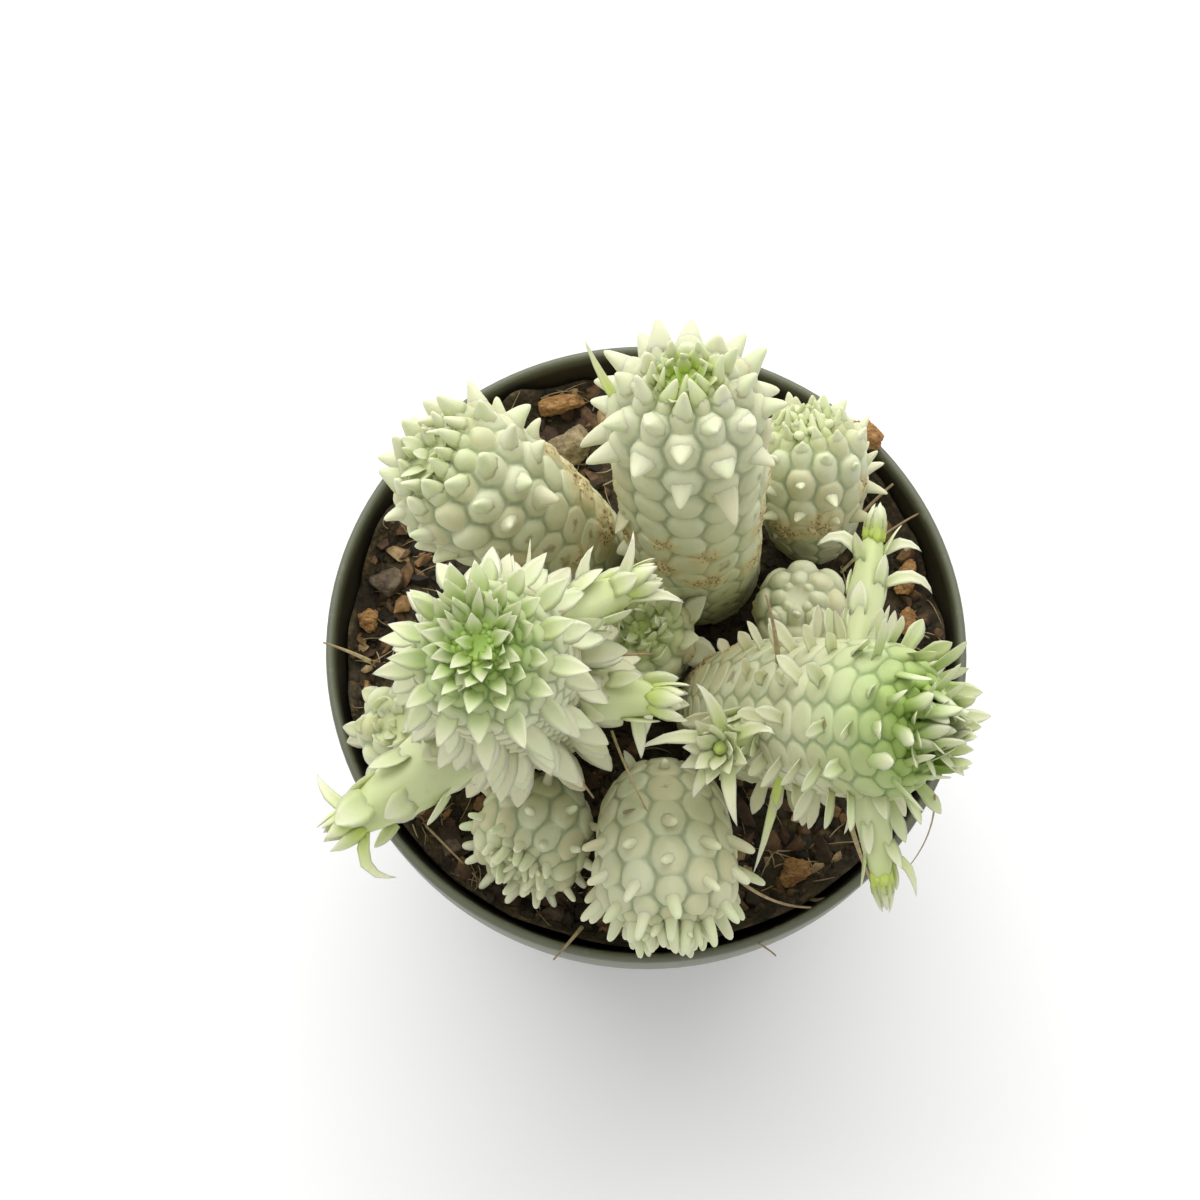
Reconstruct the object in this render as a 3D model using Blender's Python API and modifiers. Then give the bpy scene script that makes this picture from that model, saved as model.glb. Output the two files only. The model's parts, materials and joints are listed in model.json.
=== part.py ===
"""A potted corncob euphorbia: ten tubercled stems with leafy heads, growing in peat in a round
nursery pot. Run it in Blender; it clears the scene and builds one named object for each piece.
Lengths below are in millimetres until the last step, +Z is up, and the origin is the middle of
the pot's flat base."""

import math
import random

import bmesh
import bpy
from mathutils import Matrix, Vector, noise

MM = 0.001
STEM_SEED = 100
PLAIN_RINGS = 2
SEAM = 0.00001

# Pot
POT_HEIGHT = 75.0
RIM_RADIUS = 42.5
RIM_WIDTH = 1.8
RIM_DEPTH = 9.0
RIM_ROUND = 0.6
RIM_DRAFT = 0.35
BASE_RADIUS = 30.0
WALL = 1.1
BASE_THICKNESS = 1.8
BASE_ROUND = 1.5
POT_SIDES = 40
DRAIN_HOLES = 6
DRAIN_RING = 19.0
DRAIN_RADIUS = 3.0
DRAIN_SIDES = 16

# Soil. Its top lies a little under the level at which the stems' feet are given.
SOIL_LEVEL = 69.6
SOIL_DIP = 0.6
SOIL_GAP = 0.4
SOIL_RELIEF = 0.9
SOIL_EDGE_RELIEF = 0.6
SOIL_GRAIN = 7.0
SOIL_SIDES = 32
SOIL_RINGS = 7
# Round a stem the soil is level out to the first share of its radius, and uneven past the second.
SOIL_CALM = 0.9
SOIL_CALM_EDGE = 2.5

# Rooted ends, in holes that clear them all round
PLUG_DEPTH = 11.0
PLUG_TAPER = 0.7
PLUG_CLEAR_TOP = 3.0
SHOOT_ROOT = 0.5
HOLE_GAP = 0.35

# The net of tubercles. Its corners stand to each side of their rib by a share of the rib spacing.
FIRST_ROW = 1.4
ZIGZAG = 0.13
SWELL_HEIGHT = 0.55
SWELL_POWER = 0.8
CROWN_START = 0.9
CROWN_END = 0.17
TIP_HEIGHT = 0.4
RELIEF_SPREAD = (0.85, 1.15)
RELIEF_RISE = 0.1
HALF_CELL_RELIEF = 0.5
# In the crown, cells under this share of the stem's radius are spikes instead of leaves.
LEAFLET_SHARE = 0.42
LEAFLET_LENGTH = 0.45
LEAFLET_SPREAD = (0.8, 1.1)

# Leaves drawn out of the tubercles: shares of the stem's longest leaf, then lengths
LEAF_SHORTEST = 0.42
LEAF_SPREAD = (0.85, 1.12)
STUB_LENGTH = 0.6
STUB_LOWEST = 0.3
LEAF_WIDEST_AT = 0.52
LEAF_WIDTH = 0.3
LEAF_LEAST_WIDTH = 0.9
LEAF_CROWDING = 0.85
LEAF_THICKNESS = 0.8
LEAF_INSET = 0.12
LEAF_LEAN = (-0.12, 0.2)
LEAF_SWAY = 0.1
LEAF_CURL = (-0.25, 0.35)

# Long single leaves: places along the leaf and shares of its width there
BLADE_STATIONS = ((0.0, 0.75), (0.35, 1.0), (0.7, 0.7))
BLADE_THICKNESS = 0.75
BLADE_LEAST = 0.8

# Each stem: where its middle leaves the soil, the bend, and the growing tip, then its sizes.
STEMS = {
    "stem_back": dict(
        foot=(8.0, 12.8), bend=(6.2, 8.6, 92.0), tip=(3.8, 19.9, 122.0), radius=8.6, base=0.72,
        ribs=12, row=5.0, relief=1.7, dome=7.6, leaf=4.4, leafy_rows=1, stubs=0.22, turn=0.2,
    ),
    "stem_back_left": dict(
        foot=(-10.7, 14.2), bend=(-11.1, 10.4, 86.0), tip=(-27.4, 15.9, 104.0), radius=8.5,
        base=0.72, ribs=12, row=5.0, relief=1.7, dome=7.0, leaf=4.2, leafy_rows=1, stubs=0.3,
        turn=0.5,
    ),
    "stem_back_right": dict(
        foot=(22.9, 18.9), bend=(22.3, 18.2, 80.0), tip=(20.8, 25.9, 89.5), radius=6.8, base=0.78,
        ribs=10, row=4.6, relief=1.4, dome=5.6, leaf=3.4, leafy_rows=1, stubs=0.3, turn=0.1,
    ),
    "stem_left": dict(
        foot=(-14.5, -8.5), bend=(-13.8, -14.6, 102.0), tip=(-19.2, -16.0, 130.0), radius=8.8,
        base=0.74, ribs=12, row=5.0, relief=1.6, dome=7.2, leaf=7.0, leafy_rows=3, stubs=0.25,
        turn=0.0,
    ),
    "stem_right": dict(
        foot=(11.6, -8.5), bend=(11.9, -12.8, 90.0), tip=(32.4, -19.6, 107.0), radius=9.2,
        base=0.72, ribs=12, row=5.0, relief=1.6, dome=7.6, leaf=5.6, leafy_rows=2, stubs=0.3,
        turn=0.3,
    ),
    "stem_front": dict(
        foot=(2.3, -22.9), bend=(1.6, -24.8, 88.0), tip=(2.5, -39.6, 86.5), radius=8.1, base=0.82,
        ribs=12, row=5.0, relief=1.5, dome=5.5, leaf=4.2, leafy_rows=1, stubs=0.2, turn=0.25,
    ),
    "stem_front_left": dict(
        foot=(-14.1, -23.8), bend=(-13.7, -24.5, 78.0), tip=(-17.0, -31.8, 81.0), radius=6.9,
        base=0.85, ribs=10, row=4.5, relief=1.4, dome=4.6, leaf=2.8, leafy_rows=0, stubs=0.2,
        turn=0.0,
    ),
    "stem_far_left": dict(
        foot=(-29.8, -12.4), bend=(-29.5, -13.4, 76.0), tip=(-31.4, -13.9, 86.0), radius=5.9,
        base=0.86, ribs=10, row=4.3, relief=1.2, dome=5.0, leaf=2.8, leafy_rows=0, stubs=0.3,
        turn=0.4,
    ),
    "stem_middle": dict(
        foot=(0.3, 0.2), bend=(0.0, -1.1, 76.0), tip=(-1.0, -1.9, 86.0), radius=5.7, base=0.88,
        ribs=10, row=4.0, relief=1.1, dome=5.0, leaf=2.2, leafy_rows=0, stubs=0.1, turn=0.0,
    ),
    "stem_inner_right": dict(
        foot=(22.6, 3.2), bend=(21.9, 2.8, 76.0), tip=(20.5, 3.8, 85.0), radius=5.7, base=0.88,
        ribs=10, row=4.2, relief=1.2, dome=4.8, leaf=2.2, leafy_rows=0, stubs=0.2, turn=0.3,
    ),
}

# A side shoot's sizes as shares of its radius, and what every shoot has alike.
SHOOT_SHARES = dict(row=1.45, relief=0.35, dome=2.2, leaf=1.05)
SHOOT_ALIKE = dict(base=0.95, ribs=6, leafy_rows=0, stubs=0.12, turn=0.3)

# Side shoots: the stem, a point on its middle line, the shoot's bend and tip, and its radius.
SHOOTS = [
    ("stem_left", (-17.0, -15.6, 104.5), (-27.0, -26.0, 108.5), (-36.6, -32.0, 107.2), 3.3),
    ("stem_left", (-17.0, -15.0, 116.5), (-9.4, -8.4, 119.5), (-0.6, -6.4, 120.5), 2.6),
    ("stem_left", (-16.0, -14.6, 106.5), (-7.0, -16.2, 111.5), (2.8, -18.9, 112.0), 2.8),
    ("stem_right", (24.5, -16.2, 101.5), (28.0, -4.0, 101.0), (30.0, 8.0, 103.0), 2.8),
    ("stem_right", (15.5, -13.6, 94.0), (10.5, -19.5, 97.0), (7.8, -21.4, 104.5), 2.7),
    ("stem_right", (25.5, -17.0, 102.5), (27.5, -30.0, 98.0), (28.2, -37.6, 96.0), 2.8),
]

# Long single leaves and spikes: the stem, root, bend and tip, and the width at the middle.
BLADES = [
    ("stem_back", (-1.5, 15.5, 112.0), (-5.5, 19.0, 116.5), (-8.0, 23.5, 122.0), 1.7),
    ("stem_left", (-26.5, -25.0, 107.5), (-33.0, -25.5, 108.5), (-37.6, -24.5, 106.5), 1.7),
    ("stem_left", (-30.0, -28.6, 107.6), (-31.6, -34.5, 107.4), (-29.4, -38.6, 105.0), 1.6),
    ("stem_left", (-7.8, -8.4, 119.5), (-7.0, -5.2, 122.0), (-6.0, -3.0, 122.0), 1.7),
    ("stem_left", (-4.6, -7.4, 120.2), (-3.6, -4.6, 123.6), (-2.4, -2.2, 124.4), 1.5),
    ("stem_left", (-3.4, -8.0, 120.0), (0.6, -8.8, 121.6), (3.4, -8.6, 120.4), 1.6),
    ("stem_left", (-2.0, -17.6, 111.0), (-1.2, -21.8, 110.5), (-1.2, -23.4, 107.0), 1.7),
    ("stem_left", (-14.5, -9.5, 119.0), (-14.0, -4.8, 120.0), (-13.8, -1.0, 121.0), 0.9),
    ("stem_right", (27.6, -5.0, 101.0), (24.5, 1.5, 104.0), (20.6, 2.6, 102.5), 1.7),
    ("stem_right", (29.4, 0.0, 102.0), (32.0, 4.5, 103.5), (34.0, 3.8, 102.0), 1.6),
    ("stem_right", (28.8, -2.6, 101.6), (33.0, -0.8, 103.2), (35.2, -3.2, 100.7), 1.7),
    ("stem_right", (9.0, -20.4, 101.0), (3.0, -20.0, 106.0), (-2.4, -21.6, 104.0), 2.1),
    ("stem_right", (9.2, -21.0, 100.0), (8.8, -27.5, 104.0), (9.6, -30.4, 100.0), 2.0),
    ("stem_right", (9.6, -19.6, 101.0), (13.0, -18.4, 106.5), (14.6, -20.4, 106.0), 2.0),
    ("stem_right", (8.8, -19.4, 101.5), (7.0, -15.5, 107.0), (5.6, -12.5, 106.0), 1.8),
    ("stem_right", (27.6, -31.0, 98.0), (31.0, -34.0, 98.5), (31.8, -37.4, 96.0), 1.4),
    ("stem_right", (17.9, -20.6, 94.6), (16.0, -29.0, 93.0), (13.0, -35.8, 88.0), 1.1),
]

# Loose pieces: middle, half sizes along X, Y and Z, turn about Z in degrees, and kind.
LOOSE = {
    "bark_rim": ((30.1, 28.3, 76.75), (2.8, 1.9, 1.35), -46, "bark"),
    "bark_back": ((-11.6, 35.4, 71.0), (3.6, 1.8, 1.7), 14, "bark"),
    "bark_left": ((-37.3, 4.4, 70.3), (1.6, 2.0, 1.5), 10, "bark"),
    "bark_far_left": ((-37.0, -6.6, 69.9), (0.8, 3.2, 1.0), 11, "bark"),
    "bark_right": ((35.5, 10.2, 70.4), (2.9, 1.6, 1.4), 68, "bark"),
    "bark_inner_right": ((35.4, 4.0, 70.1), (1.6, 1.9, 1.4), 0, "bark"),
    "bark_front_right": ((19.6, -29.8, 69.9), (2.6, 2.1, 1.5), 30, "bark"),
    "pumice_back": ((-10.2, 29.2, 70.9), (4.2, 3.0, 2.3), 20, "pumice"),
    "stone_left": ((-35.0, 9.8, 70.4), (2.8, 2.2, 1.8), 30, "stone"),
    "stone_front_left": ((-25.6, -26.8, 70.1), (2.1, 1.7, 1.5), 15, "stone"),
    "stone_front": ((-12.0, -35.4, 70.0), (1.9, 1.4, 1.2), 0, "stone"),
}
LUMP_FINENESS = 2
LUMP_KNOCKS = 1.7
LUMP_ROUGHNESS = {"bark": 0.22, "pumice": 0.16, "stone": 0.1}

# Each kind's red, green, blue and roughness
COLOURS = {
    "pot": (0.235, 0.245, 0.215, 0.42),
    "soil": (0.018, 0.012, 0.008, 0.95),
    "stem": (0.48, 0.56, 0.37, 0.6),
    "bark": (0.30, 0.17, 0.07, 0.85),
    "pumice": (0.36, 0.33, 0.27, 0.9),
    "stone": (0.10, 0.075, 0.06, 0.8),
}
# Edges sharper than this many degrees stay crisp
SMOOTH_ANGLE = {"pot": 40, "soil": 60, "stem": 22, "bark": 30, "pumice": 30, "stone": 30}


def clear_scene():
    for thing in list(bpy.data.objects):
        bpy.data.objects.remove(thing, do_unlink=True)


def collection(name):
    made = bpy.data.collections.new(name)
    bpy.context.scene.collection.children.link(made)
    return made


def material(name, kind):
    """A plain finish of this kind's colour and roughness, one for each piece."""
    made = bpy.data.materials.new(name)
    made.use_nodes = True
    shader = made.node_tree.nodes["Principled BSDF"]
    red, green, blue, roughness = COLOURS[kind]
    shader.inputs["Base Color"].default_value = (red, green, blue, 1.0)
    shader.inputs["Roughness"].default_value = roughness
    shader.inputs["Metallic"].default_value = 0.0
    return made


def finish(made, kind):
    made.data.materials.append(material(made.name, kind))
    made.data.shade_smooth()
    made.data.set_sharp_from_angle(angle=math.radians(SMOOTH_ANGLE[kind]))


def piece(name, bm, group, kind=None):
    """The bmesh as a named object in the group, brought from millimetres to metres."""
    bmesh.ops.scale(bm, vec=(MM, MM, MM), verts=bm.verts)
    mesh = bpy.data.meshes.new(name)
    bm.to_mesh(mesh)
    bm.free()
    made = bpy.data.objects.new(name, mesh)
    group.objects.link(made)
    if kind:
        finish(made, kind)
    return made


def cutter(name, bm, group):
    made = piece(name, bm, group)
    made.hide_render = True
    made.display_type = "WIRE"


def boolean(target, group, operation):
    """Cuts or joins everything in the group, and leaves the result in the target's own mesh."""
    change = target.modifiers.new(operation.title(), "BOOLEAN")
    change.operation = operation
    change.operand_type = "COLLECTION"
    change.collection = group
    change.solver = "EXACT"
    graph = bpy.context.evaluated_depsgraph_get()
    mesh = bpy.data.meshes.new_from_object(target.evaluated_get(graph))
    target.modifiers.clear()
    target.data = mesh
    drop_scraps(mesh)


def drop_scraps(mesh):
    """Leaves only the largest connected body, since a cut or join can leave a loose sliver."""
    bm = bmesh.new()
    bm.from_mesh(mesh)
    body_of = {}
    sizes = []
    for start in bm.verts:
        if start in body_of:
            continue
        body_of[start] = len(sizes)
        body = [start]
        for vert in body:
            for edge in vert.link_edges:
                other = edge.other_vert(vert)
                if other not in body_of:
                    body_of[other] = len(sizes)
                    body.append(other)
        sizes.append(len(body))
    largest = sizes.index(max(sizes))
    scraps = [vert for vert in bm.verts if body_of[vert] != largest]
    bmesh.ops.delete(bm, geom=scraps, context="VERTS")
    bm.to_mesh(mesh)
    bm.free()


def drop(group):
    for thing in list(group.objects):
        bpy.data.objects.remove(thing, do_unlink=True)
    bpy.data.collections.remove(group)


class Axis:
    """The middle line of a stem, shoot or leaf: a smooth bend from root to tip. It carries a side
    direction along with it, so that the rings round it don't twist."""

    STEPS = 40

    def __init__(self, root, bend, tip):
        root, bend, tip = Vector(root), Vector(bend), Vector(tip)
        self.points = []
        for step in range(self.STEPS + 1):
            t = step / self.STEPS
            self.points.append(root * (1 - t) ** 2 + bend * (2 * t * (1 - t)) + tip * t**2)
        self.marks = [0.0]
        for here, after in zip(self.points, self.points[1:]):
            self.marks.append(self.marks[-1] + (after - here).length)
        self.length = self.marks[-1]
        self.along = [(bend - root).normalized()]
        for step in range(1, self.STEPS):
            self.along.append((self.points[step + 1] - self.points[step - 1]).normalized())
        self.along.append((tip - bend).normalized())
        side = self.along[0].cross(Vector((0.0, 1.0, 0.0))).normalized()
        self.sides = [side]
        for before, after in zip(self.along, self.along[1:]):
            side = before.rotation_difference(after) @ side
            self.sides.append(side.normalized())

    def at(self, distance):
        """Point, side, other side and direction at this distance; it runs on straight past its ends."""
        if distance <= 0.0:
            step, share = 0, 0.0
            point = self.points[0] + self.along[0] * distance
        elif distance >= self.length:
            step, share = self.STEPS - 1, 1.0
            point = self.points[-1] + self.along[-1] * (distance - self.length)
        else:
            step = next(n for n in range(self.STEPS) if self.marks[n + 1] >= distance)
            share = (distance - self.marks[step]) / (self.marks[step + 1] - self.marks[step])
            point = self.points[step].lerp(self.points[step + 1], share)
        along = self.along[step].lerp(self.along[step + 1], share).normalized()
        side = self.sides[step].lerp(self.sides[step + 1], share)
        side = (side - along * side.dot(along)).normalized()
        return point, side, along.cross(side), along


def loft(bm, rings):
    """A closed skin over the rings, which all have as many points: a sheet rolled round until its
    sides meet, with both ends filled. Each vertex keeps the number of its ring and its place
    round it in the layers that are returned, with the last ring's face."""
    place = bm.verts.layers.int.new("place")
    level = bm.verts.layers.int.new("level")
    around, last = len(rings[0]), len(rings) - 1
    sheet = bmesh.ops.create_grid(bm, x_segments=around, y_segments=last, size=1.0)["verts"]
    for number, vert in enumerate(sheet):
        vert[level] = number // (around + 1)
        vert[place] = number % (around + 1) % around
        vert.co = rings[vert[level]][vert[place]]
    bmesh.ops.remove_doubles(bm, verts=bm.verts, dist=SEAM)
    edges = [edge for edge in bm.edges if edge.is_boundary]
    ends = bmesh.ops.holes_fill(bm, edges=edges, sides=0)["faces"]
    bmesh.ops.recalc_face_normals(bm, faces=bm.faces)
    return place, level, [face for face in ends if face.verts[0][level] == last]


def half_rows(length, stem):
    """Distance along the axis and radius at each half row of tubercles. The rows keep their
    height up the body and close up in step with the radius over the dome."""
    radius, row, dome = stem["radius"], stem["row"], stem["dome"]
    body = length - dome
    rows = []
    distance = FIRST_ROW
    while distance < body:
        share = min(1.0, distance / (SWELL_HEIGHT * body))
        width = radius * (stem["base"] + (1 - stem["base"]) * share**SWELL_POWER)
        rows.append((distance, width))
        distance += 0.5 * row * width / radius
    angle = math.asin(min(CROWN_START, (distance - body) / dome))
    while math.cos(angle) > CROWN_END:
        rows.append((body + dome * math.sin(angle), radius * math.cos(angle)))
        pace = math.hypot(radius * math.sin(angle), dome * math.cos(angle))
        angle += 0.5 * row * math.cos(angle) / pace
    return rows


def ring(axis, distance, radius, count, turn, zigzag, number):
    """Points round the axis. Where they zigzag, each lies to one side of its even place, and the
    next ring's to the other, which draws the tubercles' six-sided outlines."""
    point, side, other, _ = axis.at(distance)
    points = []
    for place in range(count):
        shift = zigzag if (place + number) % 2 else -zigzag
        angle = math.tau * (place + shift) / count + turn
        points.append(point + (side * math.cos(angle) + other * math.sin(angle)) * radius)
    return points


def join_half_cells(bm, place, level, ribs, last):
    """Takes out the edges that cut each tubercle in two, which leaves six-sided cells."""
    across = []
    for edge in bm.edges:
        low, high = edge.verts
        number = low[level]
        if number != high[level] or not PLAIN_RINGS < number < last:
            continue
        places = sorted((low[place], high[place]))
        rib = places[1] if places == [0, ribs - 1] else places[0]
        if (rib + number) % 2 == 0:
            across.append(edge)
    bmesh.ops.dissolve_edges(bm, edges=across, use_verts=False, use_face_split=False)


def draw_out(bm, axis, stem, rng, cells, head):
    """Turns these cells into leaves. Each is inset, its inside moved out and flattened to the
    leaf's widest place, and then drawn to a point."""
    flat = [face for face, _, _ in cells]
    bmesh.ops.inset_individual(bm, faces=flat, thickness=LEAF_INSET, use_even_offset=True)
    tips = []
    for face, distance, share in cells:
        centre = face.calc_center_median()
        normal = face.normal.copy()
        _, _, _, along = axis.at(distance)
        across = along.cross(normal).normalized()
        up = normal.cross(across).normalized()
        length = stem["leaf"] * (LEAF_SHORTEST + (1 - LEAF_SHORTEST) * share)
        length *= rng.uniform(*LEAF_SPREAD)
        if distance < head:
            length *= STUB_LENGTH
        lean = rng.uniform(*LEAF_LEAN)
        way = (normal + up * lean + across * rng.uniform(-LEAF_SWAY, LEAF_SWAY)).normalized()
        rise = (up - way * up.dot(way)).normalized()
        spacing = math.tau * share * stem["radius"] / stem["ribs"]
        width = min(LEAF_WIDTH * length + LEAF_LEAST_WIDTH, LEAF_CROWDING * spacing)
        for vert in face.verts:
            offset = vert.co - centre
            angle = math.atan2(offset.dot(up), offset.dot(across))
            vert.co = (
                centre
                + way * (length * LEAF_WIDEST_AT)
                + across * (0.5 * width * math.cos(angle))
                + rise * (0.5 * LEAF_THICKNESS * math.sin(angle))
            )
        tips.append((face, centre + way * length + up * rng.uniform(*LEAF_CURL)))
    poke_to(bm, tips)


def raise_up(bm, axis, stem, rng, cells, head):
    """Lifts the middle of each of these cells into a tubercle, or into a spike in the crown."""
    peaks = []
    for face, distance, share in cells:
        _, _, _, along = axis.at(distance)
        rise = stem["relief"] * share * rng.uniform(*RELIEF_SPREAD)
        if len(face.verts) < 6:
            rise *= HALF_CELL_RELIEF
        if distance > head and share <= LEAFLET_SHARE:
            rise = LEAFLET_LENGTH * stem["leaf"] * rng.uniform(*LEAFLET_SPREAD)
        lift = along * (RELIEF_RISE * stem["row"] * share)
        peaks.append((face, face.calc_center_median() + face.normal * rise + lift))
    poke_to(bm, peaks)


def tubercled(bm, axis, stem, rng, plug):
    """A stem's skin: a plain rooted end, then rows of six-sided tubercles in ribs, the upper
    ones drawn out into leaves."""
    rows = half_rows(axis.length, stem)
    ribs, turn = stem["ribs"], stem["turn"]
    first = rows[0][1]
    rings = [
        ring(axis, -plug, first * PLUG_TAPER, ribs, turn, 0.0, 0),
        ring(axis, 0.0, first, ribs, turn, 0.0, 1),
    ]
    for distance, radius in rows:
        rings.append(ring(axis, distance, radius, ribs, turn, ZIGZAG, len(rings)))
    place, level, end = loft(bm, rings)
    join_half_cells(bm, place, level, ribs, len(rings) - 1)

    head = axis.length - stem["dome"] - stem["leafy_rows"] * stem["row"]
    leaves, plain = [], []
    for face in bm.faces:
        levels = [vert[level] for vert in face.verts]
        if face in end or max(levels) <= PLAIN_RINGS or max(levels) == min(levels):
            continue
        distance, radius = rows[round(0.5 * (max(levels) + min(levels))) - PLAIN_RINGS]
        share = radius / stem["radius"]
        stub = rng.random() < stem["stubs"] * (distance / axis.length) ** 2
        leafy = distance > head or (stub and distance > STUB_LOWEST * axis.length)
        if leafy and len(face.verts) == 6 and share > LEAFLET_SHARE:
            leaves.append((face, distance, share))
        else:
            plain.append((face, distance, share))
    draw_out(bm, axis, stem, rng, leaves, head)
    raise_up(bm, axis, stem, rng, plain, head)
    top, _, _, along = axis.at(axis.length)
    poke_to(bm, [(face, top + along * TIP_HEIGHT) for face in end])


def poke_to(bm, points):
    """Splits each face into a fan about a new corner, which goes to the point given with it."""
    made = bmesh.ops.poke(bm, faces=[face for face, _ in points])
    for vert, (_, point) in zip(made["verts"], points):
        vert.co = point


def blade(bm, root, bend, tip, width):
    """One long leaf or spike: a bent, four-sided sliver, widest before its middle."""
    axis = Axis(root, bend, tip)
    rings = []
    for share, size in BLADE_STATIONS:
        point, _, _, along = axis.at(share * axis.length)
        flat = along.cross(Vector((0.0, 0.0, 1.0))).normalized()
        thick = flat.cross(along).normalized()
        half, deep = 0.5 * width * size, 0.5 * BLADE_THICKNESS * max(size, BLADE_LEAST)
        corners = (flat * half, thick * deep, flat * -half, thick * -deep)
        rings.append([point + corner for corner in corners])
    _, _, end = loft(bm, rings)
    poke_to(bm, [(face, Vector(tip)) for face in end])


def shoot_sizes(radius):
    """A side shoot of this radius, described in the same terms as a stem."""
    sizes = {name: share * radius for name, share in SHOOT_SHARES.items()}
    return dict(radius=radius, **sizes, **SHOOT_ALIKE)


def build_stem(name, stem, parts, seed):
    """One stem with its shoots and long leaves grown together into a single body."""
    rng = random.Random(seed)
    foot = (*stem["foot"], SOIL_LEVEL)
    bm = bmesh.new()
    tubercled(bm, Axis(foot, stem["bend"], stem["tip"]), stem, rng, PLUG_DEPTH)
    made = piece(name, bm, parts, "stem")
    extras = collection(name + "_extras")
    for number, (owner, root, bend, tip, radius) in enumerate(SHOOTS):
        if owner == name:
            bm = bmesh.new()
            tubercled(bm, Axis(root, bend, tip), shoot_sizes(radius), rng, SHOOT_ROOT)
            piece(f"{name}_shoot_{number}", bm, extras)
    for number, (owner, root, bend, tip, width) in enumerate(BLADES):
        if owner == name:
            bm = bmesh.new()
            blade(bm, root, bend, tip, width)
            piece(f"{name}_blade_{number}", bm, extras)
    if extras.objects:
        boolean(made, extras, "UNION")
    drop(extras)


def plug_cutter(name, stem, cutters):
    """The stem's rooted end, a little fatter and running out above the soil, as its hole."""
    foot = (*stem["foot"], SOIL_LEVEL)
    axis = Axis(foot, stem["bend"], stem["tip"])
    first = half_rows(axis.length, stem)[0][1]
    ribs, turn = stem["ribs"], stem["turn"]
    gap = HOLE_GAP / math.cos(math.pi / ribs)
    rings = [
        ring(axis, -PLUG_DEPTH - HOLE_GAP, first * PLUG_TAPER + gap, ribs, turn, 0.0, 0),
        ring(axis, 0.0, first + gap, ribs, turn, 0.0, 1),
        ring(axis, PLUG_CLEAR_TOP, first + gap, ribs, turn, 0.0, 2),
    ]
    bm = bmesh.new()
    loft(bm, rings)
    cutter(name + "_hole", bm, cutters)


def turned(name, profile, sides, group):
    """A solid turned round the Z axis from its outline, given from the axis round to the axis."""
    bm = bmesh.new()
    verts = [bm.verts.new((radius * MM, 0.0, height * MM)) for radius, height in profile]
    for here, after in zip(verts, verts[1:]):
        bm.edges.new((here, after))
    mesh = bpy.data.meshes.new(name)
    bm.to_mesh(mesh)
    bm.free()
    made = bpy.data.objects.new(name, mesh)
    group.objects.link(made)
    screw = made.modifiers.new("Turn", "SCREW")
    screw.steps = sides
    screw.render_steps = sides
    screw.use_merge_vertices = True
    screw.merge_threshold = 0.00001
    screw.use_smooth_shade = True
    return made


def inner_wall(height):
    """The pot's inner radius at this height."""
    share = (height - BASE_THICKNESS) / (POT_HEIGHT - BASE_THICKNESS)
    top = RIM_RADIUS - RIM_WIDTH
    return BASE_RADIUS - WALL + (top - BASE_RADIUS + WALL) * share


def build_pot(parts):
    """The nursery pot: a thin tapered wall with a deep collar at the rim, and drain holes."""
    top = POT_HEIGHT
    under = top - RIM_DEPTH
    outside = inner_wall(under) + WALL
    profile = [
        (0.0, BASE_THICKNESS),
        (inner_wall(BASE_THICKNESS) - BASE_ROUND, BASE_THICKNESS),
        (inner_wall(BASE_THICKNESS + BASE_ROUND), BASE_THICKNESS + BASE_ROUND),
        (inner_wall(top - RIM_ROUND), top - RIM_ROUND),
        (RIM_RADIUS - RIM_WIDTH + RIM_ROUND, top),
        (RIM_RADIUS - RIM_ROUND, top),
        (RIM_RADIUS, top - RIM_ROUND),
        (RIM_RADIUS - RIM_DRAFT, under + RIM_ROUND),
        (RIM_RADIUS - RIM_DRAFT - RIM_ROUND, under),
        (outside, under),
        (BASE_RADIUS, BASE_ROUND),
        (BASE_RADIUS - BASE_ROUND, 0.0),
        (0.0, 0.0),
    ]
    pot = turned("pot", profile, POT_SIDES, parts)
    drains = collection("drains")
    for number in range(DRAIN_HOLES):
        angle = math.tau * (number + 0.5) / DRAIN_HOLES
        spot = Vector((math.cos(angle), math.sin(angle), 0.0)) * DRAIN_RING
        bm = bmesh.new()
        bmesh.ops.create_cone(
            bm, cap_ends=True, segments=DRAIN_SIDES, radius1=DRAIN_RADIUS, radius2=DRAIN_RADIUS,
            depth=4 * BASE_THICKNESS, matrix=Matrix.Translation(spot),
        )
        cutter(f"drain_{number}", bm, drains)
    boolean(pot, drains, "DIFFERENCE")
    drop(drains)
    finish(pot, "pot")


def lump(middle, size, turn, roughness, seed, grow=0.0):
    """An irregular chip or stone: a fine ball, squashed, with knocks taken out of it."""
    bm = bmesh.new()
    bmesh.ops.create_icosphere(bm, subdivisions=LUMP_FINENESS, radius=1.0)
    halves = Vector(size) + Vector((grow, grow, grow))
    for vert in bm.verts:
        way = vert.co.normalized()
        knock = 1.0 + roughness * noise.noise(way * LUMP_KNOCKS + Vector((seed * math.pi, 0.0, 0.0)))
        vert.co = halves * knock * way
    spin = Matrix.Rotation(math.radians(turn), 4, "Z")
    bmesh.ops.transform(bm, matrix=Matrix.Translation(middle) @ spin, verts=bm.verts)
    return bm


def soil_height(x, y):
    """How far the soil stands above or below its level here. It is calm round each stem, so that
    nothing grows through it."""
    bumps = noise.noise(Vector((x / SOIL_GRAIN, y / SOIL_GRAIN, 2.0)))
    calm = 1.0
    for stem in STEMS.values():
        away = math.hypot(x - stem["foot"][0], y - stem["foot"][1])
        level = stem["radius"] * SOIL_CALM
        uneven = stem["radius"] + SOIL_CALM_EDGE
        calm = min(calm, max(0.0, (away - level) / (uneven - level)))
    return SOIL_RELIEF * bumps * calm


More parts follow.
